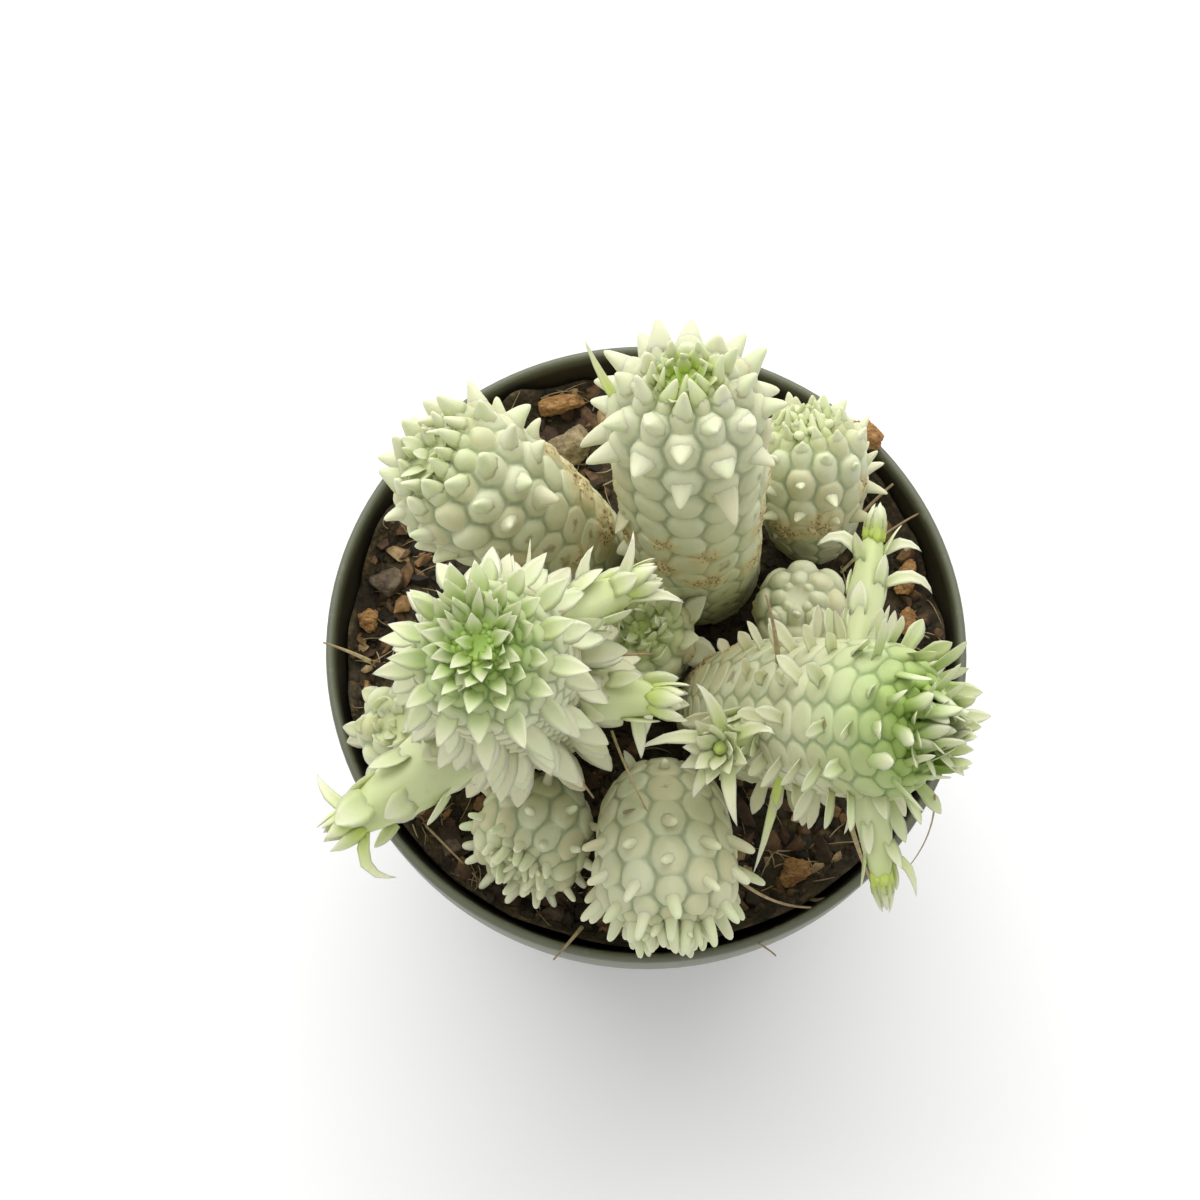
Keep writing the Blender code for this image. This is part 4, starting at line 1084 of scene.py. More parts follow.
def tubercled(axis, stem, rng):
    """A stem's skin as a bmesh, with the cells that its leaves stand on."""
    bm = bmesh.new()
    rows = half_rows(axis.length, stem)
    ribs, turn = stem["ribs"], stem["turn"]
    first = rows[0][1]
    rings = [
        ring(axis, -PLUG_DEPTH, first * PLUG_TAPER, ribs, turn, 0.0, 0),
        ring(axis, FIRST_ROW - PLAIN_HEIGHT, first, ribs, turn, 0.0, 1),
    ]
    for distance, radius in rows:
        rings.append(ring(axis, distance, radius, ribs, turn, ZIGZAG, len(rings)))
    place, level, end = loft(bm, rings)
    between = join_half_cells(bm, place, level, ribs, len(rings) - 1)

    cells = []
    for face in bm.faces:
        levels = [vert[level] for vert in face.verts]
        if face not in end and max(levels) > PLAIN_RINGS and max(levels) > min(levels):
            distance, radius = rows[round(0.5 * (max(levels) + min(levels))) - PLAIN_RINGS]
            cells.append(Cell(face, axis.at(distance)[3], distance, radius / stem["radius"]))
    layers = notes(bm)
    leaf, seam, scar, tint = (layers[name] for name in ("leaf", "seam", "scar", "tint"))
    # The seam value paints shade into the grooves between tubercles and round the foot
    for vert in bm.verts:
        vert[seam] = 1.0 if vert[level] > PLAIN_RINGS else FOOT_SEAM
        vert[tint] = 0.5
    low, high = stem["relief"]
    split = bmesh.ops.bisect_edges(bm, edges=between, cuts=1)["geom_split"]
    for vert in (item for item in split if isinstance(item, bmesh.types.BMVert)):
        mark = min((mark for mark, _ in rows), key=lambda mark: (axis.at(mark)[0] - vert.co).length)
        out = vert.co - axis.at(mark)[0]
        relief = low + SEAM_GROWTH * (high - low) * growth_share(axis, stem, mark)
        vert.co += out.normalized() * (SEAM_LIFT * relief * out.length / stem["radius"])
        vert[seam] = RIB_SEAM

    for cell in cells:
        grown = growth_share(axis, stem, cell.distance)
        relief = (low + (high - low) * grown) * cell.share**RELIEF_OVER_DOME
        cell.relief = relief * rng.uniform(*RELIEF_SPREAD)
        cell.kept, cell.grown = 1.0 - DRAWN_IN * grown, grown
        rise = RELIEF_RISE[0] + (RELIEF_RISE[1] - RELIEF_RISE[0]) * grown
        cell.lift = stem["row"] * cell.share * rise
        cell.tint = rng.random()
        below_dome = cell.distance < axis.length - stem["dome"]
        marked = below_dome and rng.random() < SCAR_CHANCE * stem["age"]
        cell.scar = rng.uniform(*SCAR_STRENGTH) if marked else 0.0
        cell.outline = [vert.co - cell.centre for vert in cell.face.verts]
    cut = min(cells, key=lambda cell: (cell.centre - CUT_SPOT).length)
    cut.hollow = (cut.centre - CUT_SPOT).length < stem["row"]
    for number, (height, kept) in enumerate(CUSHION):
        bmesh.ops.inset_individual(
            bm, faces=[cell.face for cell in cells], thickness=INSET, use_even_offset=True
        )
        for cell in cells:
            middle = cell.top(height)
            for vert, offset in zip(cell.face.verts, cell.outline):
                raised = cell.normal * offset.dot(cell.normal)
                flat = (offset - raised) * (kept * cell.kept if number else kept)
                vert.co = middle + flat + raised * (1.0 - height)
                vert[seam] = 0.0 if number else SHOULDER_SEAM
                vert[tint] = cell.tint
                vert[leaf] = SHOULDER_LEAF * number * cell.grown
                vert[scar] = SCAR_SPREAD * number * cell.scar * rng.random()
    for cell in cells:
        vert = bmesh.ops.poke(bm, faces=[cell.face])["verts"][0]
        vert.co = cell.top(CUT_DEPTH) if cell.hollow else cell.top()
        vert[seam] = 0.0
        vert[tint] = cell.tint
        vert[scar] = 1.0 if cell.hollow else cell.scar
        vert[leaf] = TOP_LEAF * cell.grown
    for face in end:
        for vert in face.verts:
            vert[seam] = FOOT_SEAM
        vert = bmesh.ops.poke(bm, faces=[face])["verts"][0]
        vert.co = axis.at(axis.length + TIP_HEIGHT)[0]
    return bm, cells


def crown_core(axis, stem):
    """The middle of a crown's green, a little below the tip."""
    return axis.at(axis.length - CROWN_CORE * stem["dome"])[0]


def greenness(stem, away):
    """How green a stem is this many millimetres from its crown's middle."""
    near = max(0.0, 1.0 - away / (stem["reach"] + CROWN_FADE))
    return min(1.0, stem["green"] * CROWN_STRENGTH * near)


def growth(bm, axis, stem, name):
    """Notes on each vertex how green, how old and how corky the stem is there; its age also
    paints shade low on the stem.
    """
    layers = notes(bm)
    core = crown_core(axis, stem)
    crusts = []
    for owner, share, way, reach in CORK:
        if owner == name:
            point = axis.at(share * axis.length)[0]
            out = Vector((math.cos(math.radians(way)), math.sin(math.radians(way)), 0.0))
            crusts.append((point + out * stem["radius"], reach))
    for vert in bm.verts:
        away = (vert.co - core).length
        vert[layers["crown"]] = greenness(stem, away)
        vert[layers["yellow"]] = stem["yellow"]
        vert[layers["age_and_shade"]] = min(1.0, max(0.0, away / axis.length - AGE_START) * AGE_PACE)
        shares = [1.0 - (vert.co - spot).length / reach for spot, reach in crusts]
        vert[layers["cork"]] = max([0.0, *shares])


def weathered(bm):
    """Gives the skin its slight swells and dents, and the cork its crust."""
    cork, = floats(bm, "cork")
    bm.normal_update()
    for vert in bm.verts:
        rise = sum(height * noise.noise(vert.co / patch) for height, patch in SWELLS)
        crust = CRUST_LEVEL + noise.noise(vert.co / CRUST_PATCH)
        rise += CRUST_RISE * crust * min(1.0, CRUST_PACE * vert[cork])
        vert.co += vert.normal * rise


def leaf_shapes():
    """One small mesh for each shape of leaf, lying along +Y with its upper face up."""
    shapes = {}
    for name, stations in LEAF_SHAPES.items():
        bm = bmesh.new()
        rings = []
        for along, wide, thick in stations:
            rings.append([Vector((x * wide, along, y * thick)) for x, y in SECTIONS[name]])
        _, level, end = loft(bm, rings)
        layers = notes(bm)
        for vert in bm.verts:
            vert[layers["leaf"]] = vert.co.y
            vert[layers["rim"]] = abs(vert.co.x) / stations[vert[level]][1]
        for face in end:
            vert = bmesh.ops.poke(bm, faces=[face])["verts"][0]
            vert.co = (0.0, 1.0, LEAF_TIP_RISE)
            vert[layers["leaf"]] = vert[layers["rim"]] = 1.0
        for spare in ("place", "level"):
            bm.verts.layers.int.remove(bm.verts.layers.int[spare])
        shapes[name] = bpy.data.meshes.new("leaf_" + name)
        bm.to_mesh(shapes[name])
        bm.free()
    return shapes


def lay_leaf(bm, shape, axis, facing, width, thickness, values):
    """Lays a leaf along an axis with its upper face turned to the facing direction."""
    start = len(bm.verts)
    bm.from_mesh(shape)
    bm.verts.ensure_lookup_table()
    layers = bm.verts.layers.float
    for vert in bm.verts[start:]:
        point, _, _, along = axis.at(vert.co.y * axis.length)
        flat = along.cross(facing).normalized()
        rise = flat.cross(along)
        vert.co = point + flat * (0.5 * width * vert.co.x) + rise * (0.5 * thickness * vert.co.z)
        for name, value in values.items():
            vert[layers[name]] = value


def round_axis(axis, distance, angle):
    """A point on an axis, the direction out from it at this angle, and its own direction."""
    point, side, other, along = axis.at(distance)
    return point, side * math.cos(angle) + other * math.sin(angle), along


def leaf_axis(root, way, up, length, curl):
    """A leaf's middle line from its root: straight on at first, then curling up or down."""
    tip = root + way * length + up * (curl * length)
    return Axis(root, root + way * (LEAF_BEND * length), tip, steps=8)


def eased(pair, share):
    """The value this share of the way from the first of a pair to the second."""
    return pair[0] + (pair[1] - pair[0]) * min(1.0, max(0.0, share))


def head_leaves(bm, shapes, axis, stem, cells, rng):
    """The leaves of a stem: one on each tubercle of its head, broad and hanging where they are
    lowest, stubs left on the older tubercles, and a spiral of small ones round the tip."""
    kind, body = stem["leaf"], axis.length - stem["dome"]
    core = crown_core(axis, stem)
    for cell in cells:
        below = body - cell.distance
        old_part = below > stem["leafy"]
        chance = 1 - stem["sparse"]
        if old_part:
            chance = stem["stubs"] * max(0.0, cell.distance / body) ** 2
        if cell.share < INNER_SHARE or cell.hollow or rng.random() > chance:
            continue
        depth = DOME_FOOT * cell.share
        if below >= 0:
            depth = min(1.0, DOME_FOOT + (1.0 - DOME_FOOT) * below / (stem["leafy"] + 1))
        size = eased(stem["size"], depth / DOME_FOOT - SIZE_DEPTH)
        if old_part:
            size *= STUB_SIZE
        length = stem["length"] * size * rng.uniform(*LENGTH_SPREAD)
        spacing = math.tau * cell.share * stem["radius"] / stem["ribs"]
        width = min(stem["width"] * (WIDTH_KEPT + (1.0 - WIDTH_KEPT) * size), CROWDED * spacing)
        width *= rng.uniform(*WIDTH_SPREAD)
        shape = kind
        if kind == "lance" and depth > SCALE_DEPTH:
            shape, width = "scale", width * SCALE_WIDER
        if old_part and rng.random() < STUB_SCALES:
            shape = "scale"
        lean = math.radians(eased(stem["lean"], depth) + rng.uniform(-1, 1) * stem["stray"])
        way = cell.normal * math.cos(lean) + cell.up * math.sin(lean)
        way += cell.across * rng.uniform(-WAY_SPREAD, WAY_SPREAD)
        facing = cell.up + cell.across * rng.uniform(-FACING_SPREAD, FACING_SPREAD)
        root = cell.top(ROOT_HEIGHT) - cell.normal * ROOT_SUNK
        values = dict(
            crown=greenness(stem, (root - core).length), yellow=stem["yellow"], tint=rng.random(),
            # Lower leaves turn beige for their age and darker with painted shade
            age_and_shade=min(1.0, max(0.0, depth - DOME_FOOT) * LEAF_AGE * rng.uniform(*AGE_SPREAD)),
            scar=STUB_SCAR if old_part and rng.random() < STUB_SCAR_CHANCE else 0.0,
        )
        curl = eased(stem["curl"], depth) + rng.uniform(-CURL_SPREAD, CURL_SPREAD)
        line = leaf_axis(root, way.normalized(), cell.up, length, curl)
        lay_leaf(bm, shapes[shape], line, facing, width, THICKNESS[shape] * width, values)

    kind = stem["inner_leaf"]
    widest = min(INNER_WIDTH[0] * stem["width"], INNER_WIDTH[1] * stem["radius"])
    for number in range(stem["inner"]):
        share = math.sqrt((number + INNER_START) / stem["inner"])
        sine = INNER_SHARE * INNER_REACH * share
        point, out, along = round_axis(
            axis, body + stem["dome"] * math.sqrt(1.0 - sine**2), number * GOLDEN_ANGLE
        )
        root = point + out * (stem["radius"] * sine) - along * INNER_SUNK
        spread = eased(stem["spread"], share) + rng.uniform(-INNER_SPREAD, INNER_SPREAD)
        way = along * math.cos(math.radians(spread)) + out * math.sin(math.radians(spread))
        grown = INNER_SIZE[0] + INNER_SIZE[1] * share
        length = stem["length"] * stem["size"][0] * grown * rng.uniform(*INNER_LENGTH_SPREAD)
        width = widest * grown
        values = dict(crown=stem["green"], yellow=stem["yellow"], tint=rng.random())
        curl = rng.uniform(-INNER_CURL_SPREAD, INNER_CURL_SPREAD)
        line = leaf_axis(root, way, along, length, curl)
        lay_leaf(bm, shapes[kind], line, along, width, THICKNESS[kind] * width, values)


def shoot_body(axis, radius, turn):
    """A young shoot's own body: smooth, with soft ribs, narrowing to its bud."""
    bm = bmesh.new()
    rings = []
    for share, wide in SHOOT_PROFILE:
        point, side, other, _ = axis.at(share * axis.length)
        rings.append([])
        for number in range(SHOOT_SIDES):
            angle = math.tau * number / SHOOT_SIDES + turn + SHOOT_TWIST * share
            reach = radius * wide * (1.0 + (SHOOT_RIB if number % 2 else -SHOOT_RIB))
            rings[-1].append(point + (side * math.cos(angle) + other * math.sin(angle)) * reach)
    _, level, end = loft(bm, rings)
    layers = notes(bm)
    for vert in bm.verts:
        share = vert[level] / (len(rings) - 1)
        vert[layers["crown"]] = SHOOT_GREEN[0] + SHOOT_GREEN[1] * share**3
        vert[layers["yellow"]] = 1.0
        vert[layers["tint"]] = SHOOT_TINT
    bmesh.ops.poke(bm, faces=end)
    return bm


def shoot_leaves(bm, shapes, axis, radius, count, opened, rng):
    """The scale leaves that lie along a shoot, then the bud of longer ones that meet at a point."""
    for number in range(count):
        share = SHOOT_LEAVES[0] + SHOOT_LEAVES[1] * (number + 0.5) / count
        turn = number * GOLDEN_ANGLE + rng.uniform(-SHOOT_LEAF_TURN, SHOOT_LEAF_TURN)
        point, out, along = round_axis(axis, share * axis.length, turn)
        narrowing = SHOOT_NARROWING[0] * max(0.0, share - SHOOT_NARROWING[1])
        root = point + out * radius * (SHOOT_LEAF_ROOT - narrowing)
        way = (out * rng.uniform(*SHOOT_LEAF_LEAN) + along).normalized()
        values = dict(
            crown=SHOOT_LEAF_GREEN[0] + SHOOT_LEAF_GREEN[1] * share, yellow=SHOOT_LEAF_YELLOW,
            tint=rng.random() * SHOOT_LEAF_TINT,
        )
        length = rng.uniform(*SHOOT_LEAF_LENGTH)
        line = leaf_axis(root, way, out, length, rng.uniform(*SHOOT_LEAF_CURL))
        width = radius * rng.uniform(*SHOOT_LEAF_WIDTH)
        lay_leaf(bm, shapes["scale"], line, out, width, THICKNESS["scale"] * width, values)
    bud_leaves = BUD_LEAVES + round(BUD_MORE * opened)
    start = axis.length - BUD_DEPTH[0] + BUD_DEPTH[1] * opened
    values = dict(crown=BUD_GREEN[0] - BUD_GREEN[1] * opened, yellow=1.0, tint=BUD_TINT)
    for number in range(bud_leaves):
        share = number / bud_leaves
        point, out, along = round_axis(axis, start + BUD_STEP * number, number * GOLDEN_ANGLE)
        root = point + out * (BUD_ROOT[0] - BUD_ROOT[1] * opened) * radius
        spread = opened * (BUD_SPREAD[0] - BUD_SPREAD[1] * share)
        way = (along + out * (BUD_LEAN + spread)).normalized()
        length = BUD_LENGTH - BUD_SHORTER * share
        line = leaf_axis(root, way, -out, length, BUD_CLOSING * (1.0 - opened))
        facing = along * opened - out * (1.0 - opened)
        lay_leaf(bm, shapes["lance"], line, facing, BUD_WIDTH, BUD_THICKNESS, values)


def gather(target, part):
    """Adds one bmesh's faces to another that has the same layers of numbers."""
    mesh = bpy.data.meshes.new("part")
    part.to_mesh(mesh)
    part.free()
    target.from_mesh(mesh)
    bpy.data.meshes.remove(mesh)


def subdivided(bm, levels):
    """The bmesh smoothed by Catmull-Clark subdivision."""
    mesh = bpy.data.meshes.new("coarse")
    bm.to_mesh(mesh)
    bm.free()
    coarse = bpy.data.objects.new("coarse", mesh)
    bpy.context.scene.collection.objects.link(coarse)
    smooth = coarse.modifiers.new("Smooth", "SUBSURF")
    smooth.levels = smooth.render_levels = levels
    graph = bpy.context.evaluated_depsgraph_get()
    fine = bpy.data.meshes.new_from_object(coarse.evaluated_get(graph))
    bpy.data.objects.remove(coarse, do_unlink=True)
    result = bmesh.new()
    result.from_mesh(fine)
    bpy.data.meshes.remove(fine)
    bpy.data.meshes.remove(mesh)
    return result


def build_stem(name, stem, seed, material, shapes, fineness):
    """One stem with its leaves, its side shoots and its long single leaves."""
    rng = random.Random(seed)
    stem = {**USUAL, **stem}
    axis = Axis((*stem["foot"], SOIL_LEVEL), stem["bend"], stem["tip"])
    bm, cells = tubercled(axis, stem, rng)
    growth(bm, axis, stem, name)
    shoots = [(Axis(*line), rest) for owner, *line, rest in SHOOTS if owner == name]
    for number, (line, (radius, _, _)) in enumerate(shoots):
        gather(bm, shoot_body(line, radius, number))
    bm = subdivided(bm, fineness)
    weathered(bm)
    head_leaves(bm, shapes, axis, stem, cells, rng)
    for line, (radius, count, opened) in shoots:
        shoot_leaves(bm, shapes, line, radius, count, opened, rng)
    for owner, *line, width, tone in BLADES:
        if owner == name:
            values = dict(crown=tone, yellow=1.0, tint=BLADE_TINT)
            thickness = BLADE_THICKNESS * width
            lay_leaf(bm, shapes["lance"], Axis(*line), UP, width, thickness, values)
    bmesh.ops.recalc_face_normals(bm, faces=bm.faces)
    return piece(name + "_living", bm, material, name)


def turned(bm, profile, steps):
    """Spins an outline of radius and height once round the Z axis."""
    verts = [bm.verts.new((radius, 0.0, height)) for radius, height in profile]
    edges = [bm.edges.new(pair) for pair in zip(verts, verts[1:])]
    bmesh.ops.spin(
        bm, geom=verts + edges, cent=(0, 0, 0), axis=(0, 0, 1), angle=math.tau, steps=steps,
        use_merge=True,
    )
    bmesh.ops.remove_doubles(bm, verts=bm.verts, dist=SPIN_WELD)
    bmesh.ops.recalc_face_normals(bm, faces=bm.faces)


def arc(centre, radius, start, end, steps):
    """Points on part of a circle in an outline, from one angle in degrees to another."""
    return [
        (centre[0] + radius * math.cos(math.radians(start + (end - start) * step / steps)),
         centre[1] + radius * math.sin(math.radians(start + (end - start) * step / steps)))
        for step in range(steps + 1)
    ]


def inner_wall(height, pot):
    """The pot's inner radius at this height, in millimetres."""
    top = (pot.rim_radius - pot.rim_width) / MM
    low = pot.base_radius / MM - WALL
    return low + (top - low) * (height - BASE_THICKNESS) / (pot.height / MM - BASE_THICKNESS)


class EUPHORBIA_OT_pot(bpy.types.Operator):
    """Turns the nursery pot with its collar and rolled lip, and cuts its drain holes"""

    bl_idname = "euphorbia.pot"
    bl_label = "Nursery pot"

    def execute(self, context):
        pot = context.scene.euphorbia_pot
        top, rim = pot.height / MM, pot.rim_radius / MM
        base, depth = pot.base_radius / MM, pot.rim_depth / MM
        lip = 0.5 * pot.rim_width / MM
        under = top - depth
        outside = inner_wall(under, pot) + WALL
        corner = inner_wall(BASE_THICKNESS, pot) - FOOT_ROUNDING
        edge = COLLAR_ROUNDING
        profile = [(0.0, BASE_THICKNESS)]
        profile += arc((corner, BASE_THICKNESS + FOOT_ROUNDING), FOOT_ROUNDING, -90, -8, 5)
        profile += [(inner_wall(height, pot), height) for height in INNER_HEIGHTS]
        profile += arc((rim - lip, top - lip), lip, 180, 0, 10)
        profile += [(rim - COLLAR_BOW, top - 0.5 * depth)]
        profile += arc((rim - COLLAR_DRAFT - edge, under + edge), edge, 0, -90, 4)
        profile += arc((outside + edge, under - edge), edge, 90, 180, 4)
        profile += [
            (inner_wall(height, pot) + WALL - WALL_DRAFT, height)
            for height in (under - UNDER_COLLAR, *OUTER_HEIGHTS)
        ]
        profile += arc((base - FOOT_ROUNDING, FOOT_ROUNDING), FOOT_ROUNDING, 0, -90, 6)
        profile += [*BASE_RECESS, (0.0, 0.0)]
        bm = bmesh.new()
        turned(bm, profile, POT_STEPS)
        made = piece("pot_moulded", bm, plastic(pot), "pot", POT_SHARP)
        cutters = bpy.data.collections.new("drain_cutters")
        context.scene.collection.children.link(cutters)
        for number in range(DRAIN_HOLES):
            angle = math.tau * (number + 0.5) / DRAIN_HOLES
            spot = Vector((math.cos(angle), math.sin(angle), 0.0)) * DRAIN_RING
            drain = bmesh.new()
            bmesh.ops.create_cone(
                drain, cap_ends=True, segments=DRAIN_SIDES, radius1=DRAIN_RADIUS,
                radius2=DRAIN_RADIUS, depth=4 * BASE_THICKNESS, matrix=Matrix.Translation(spot),
            )
            bmesh.ops.scale(drain, vec=(MM, MM, MM), verts=drain.verts)
            mesh = bpy.data.meshes.new("drain")
            drain.to_mesh(mesh)
            drain.free()
            cutters.objects.link(bpy.data.objects.new(f"drain_{number}", mesh))
        cut = made.modifiers.new("Drains", "BOOLEAN")
        cut.operation = "DIFFERENCE"
        cut.operand_type = "COLLECTION"
        cut.collection = cutters
        cut.solver = "EXACT"
        graph = context.evaluated_depsgraph_get()
        whole = bpy.data.meshes.new_from_object(made.evaluated_get(graph))
        made.modifiers.clear()
        made.data = whole
        for drain in list(cutters.objects):
            bpy.data.objects.remove(drain, do_unlink=True)
        bpy.data.collections.remove(cutters)
        whole.shade_smooth()
        whole.set_sharp_from_angle(angle=math.radians(POT_SHARP))
        return {"FINISHED"}


def calm(x, y):
    """How uneven the soil may be here: nothing at a stem's foot, and fully a little way off."""
    share = 1.0
    for stem in STEMS.values():
        away = math.hypot(x - stem["foot"][0], y - stem["foot"][1])
        share = min(share, max(0.0, (away - stem["radius"] * CALM_INSIDE) / CALM_WIDTH))
    return share


def ground(x, y):
    """Height of the peat's surface in millimetres: broad hollows, clods and grains, and a little
    higher along the pot's wall."""
    low, clods, grains = (
        noise.noise(Vector((x / size, y / size, seed)))
        for size, seed, _ in (HOLLOWS, CLODS, GRAINS)
    )
    climb = min(1.0, max(0.0, (math.hypot(x, y) - BANK_FOOT) / BANK_WIDTH))
    bank = EDGE_BANK * (BANK_KEPT + low) * climb
    rough = calm(x, y) * (HOLLOWS[2] * low + CLODS[2] * clods) + GRAINS[2] * grains - GRAINS_SUNK
    return SOIL_LEVEL - SOIL_DIP + bank + rough


class EUPHORBIA_OT_soil(bpy.types.Operator):
    """Fills the pot with peat: one bed with an uneven, crumbly top"""

    bl_idname = "euphorbia.soil"
    bl_label = "Peat bed"

    def execute(self, context):
        pot, soil = context.scene.euphorbia_pot, context.scene.euphorbia_soil
        top = SOIL_LEVEL - SOIL_DIP
        low = SOIL_LOW.z / MM
        reach = inner_wall(top, pot) - SOIL_GAP
        profile = [(reach * number / SOIL_RINGS, top) for number in range(SOIL_RINGS + 1)]
        profile += [(inner_wall(0.5 * top, pot) - SOIL_GAP, 0.5 * top)]
        profile += [(inner_wall(low + rise, pot) - gap, low + rise) for rise, gap in SOIL_FOOT]
        profile += [(0.0, low)]
        bm = bmesh.new()
        turned(bm, profile, SOIL_STEPS)
        for vert in bm.verts:
            if vert.co.z > top - SOIL_GAP:
                vert.co.z = ground(vert.co.x, vert.co.y)
        piece("peat_bed", bm, peat(soil), "soil")
        return {"FINISHED"}


def open_ground(rng, clear, pot):
    """A seeded spot on the peat, clear of the stems and the pot's wall."""
    edge = inner_wall(SOIL_LEVEL, pot) - clear - SOIL_GAP
    while True:
        distance = edge * math.sqrt(rng.random())
        angle = rng.uniform(0.0, math.tau)
        x, y = distance * math.cos(angle), distance * math.sin(angle)
        feet = (
            math.hypot(x - stem["foot"][0], y - stem["foot"][1]) - stem["radius"] * stem["base"]
            for stem in STEMS.values()
        )
        if min(feet) > clear:
            return x, y


def knapped(way, faces):
    """How far a broken lump reaches in this direction, cut by flat faces: each is given as its
    own direction and its distance from the middle."""
    return min([1.0] + [depth / way.dot(face) for face, depth in faces if way.dot(face) > depth])


def breaks(rng, count):
    """The flat faces of one broken lump: their directions and distances from its middle."""
    faces = []
    for _ in range(count):
        face = Vector([rng.gauss(0.0, 1.0) for _ in range(3)])
        faces.append((face.normalized(), rng.uniform(*BREAK_DEPTH)))
    return faces


def crumb(bm, tint, rng, size, place, tone, roundness):
    """One irregular crumb or flake, turned at random and sunk a little into the peat."""
    verts = bmesh.ops.create_icosphere(bm, subdivisions=1, radius=1.0)["verts"]
    shift = Vector([rng.uniform(0, NOISE_REACH) for _ in range(3)])
    halves = Vector(size)
    faces = breaks(rng, CRUMB_FACES)
    change, patches = TONE_PATCHES
    for vert in verts:
        way = vert.co.normalized()
        knock = 1.0 + roundness * noise.noise(way * CRUMB_KNOCKS + shift)
        vert.co = halves * (knock * knapped(way, faces)) * way
        vert[tint] = min(1.0, max(0.0, tone + change * noise.noise(way * patches + shift)))
    spin = Matrix.Rotation(rng.uniform(0, math.tau), 4, "Z")
    for side in ("X", "Y"):
        spin @= Matrix.Rotation(rng.uniform(-CRUMB_TILT, CRUMB_TILT), 4, side)
    bmesh.ops.transform(bm, matrix=Matrix.Translation(place) @ spin, verts=verts)


def stalk(bm, points, root, tip, sides, steps):
    """A thin bent rod that tapers from its root to its tip."""
    axis = Axis(*points)
    rings = []
    for step in range(steps + 1):
        share = step / steps
        radius = root + (tip - root) * share
        rings.append(ring(axis, share * axis.length, radius, sides, 0.0, 0.0, 0))
    part = bmesh.new()
    _, level, _ = loft(part, rings)
    along, = floats(part, "along")
    for vert in part.verts:
        vert[along] = vert[level] / steps
    gather(bm, part)


class EUPHORBIA_OT_litter(bpy.types.Operator):
    """Scatters crumbs of peat, flakes of bark and fine fibres over the bed"""

    bl_idname = "euphorbia.litter"
    bl_label = "Crumbs, flakes and fibres"

    def execute(self, context):
        pot, soil = context.scene.euphorbia_pot, context.scene.euphorbia_soil
        material = litter(soil)
        rng = random.Random(LITTER_SEED)
        bm = bmesh.new()
        tint, = floats(bm, "tint")
        larger, power = CRUMB_LARGER
        for _ in range(soil.crumbs):
            size = rng.uniform(*CRUMB_SIZE) * (1.0 + larger * rng.random() ** power)
            x, y = open_ground(rng, size, pot)
            tone = rng.random() ** CRUMB_TONE[0] * CRUMB_TONE[1]
            halves = [size * rng.uniform(*half) for half in CRUMB_HALVES] + [size * CRUMB_THICKNESS]
            place = (x, y, ground(x, y) + CRUMB_SEAT * size)
            crumb(bm, tint, rng, halves, place, tone, CRUMB_ROUGHNESS)
        piece("peat_crumbs", bm, material, smooth_angle=CRUMB_SHARP)

        bm = bmesh.new()
        tint, = floats(bm, "tint")
        larger, power = FLAKE_LARGER
        for _ in range(soil.flakes):
            size = rng.uniform(*FLAKE_SIZE) * (1.0 + larger * rng.random() ** power)
            x, y = open_ground(rng, FLAKE_ROOM * size, pot)
            tone = rng.choice(FLAKE_TONES)
            halves = [size * rng.uniform(*half) for half in FLAKE_HALVES]
            place = (x, y, ground(x, y) + FLAKE_SEAT * size)
            crumb(bm, tint, rng, halves, place, tone, FLAKE_ROUGHNESS)
        piece("bark_flakes", bm, material, smooth_angle=FLAKE_SHARP)

        bm = bmesh.new()
        floats(bm, "along")
        limit = inner_wall(SOIL_LEVEL, pot) - FIBRE_WALL_GAP
        for _ in range(soil.fibres):
            x, y = open_ground(rng, FIBRE_ROOM, pot)
            angle, length = rng.uniform(0, math.tau), rng.uniform(*FIBRE_LENGTH)
            ends = []
            for share in (0.0, 0.5, 1.0):
                turn = angle + rng.uniform(-FIBRE_WANDER, FIBRE_WANDER)
                px, py = x + length * share * math.cos(turn), y + length * share * math.sin(turn)
                shrink = min(1.0, limit / math.hypot(px, py))
                px, py = px * shrink, py * shrink
                arch = rng.uniform(0.0, FIBRE_ARCH) * (share == 0.5)
                ends.append((px, py, ground(px, py) + FIBRE_SEAT + arch))
            stalk(bm, ends, rng.uniform(*FIBRE_RADIUS), FIBRE_TIP, sides=4, steps=7)
        piece("peat_fibres", bm, straw())
        return {"FINISHED"}


class EUPHORBIA_OT_dry_bits(bpy.types.Operator):
    """Adds the dry thorns on the stems and the bare roots at the pot's edge"""

    bl_idname = "euphorbia.dry_bits"
    bl_label = "Dry thorns and roots"

    def execute(self, context):
        bm = bmesh.new()
        floats(bm, "along")
        for *points, root, tip in DRY_BITS:
            stalk(bm, points, root, tip, sides=8, steps=16)
        piece("dry_thorns", bm, straw())
        return {"FINISHED"}


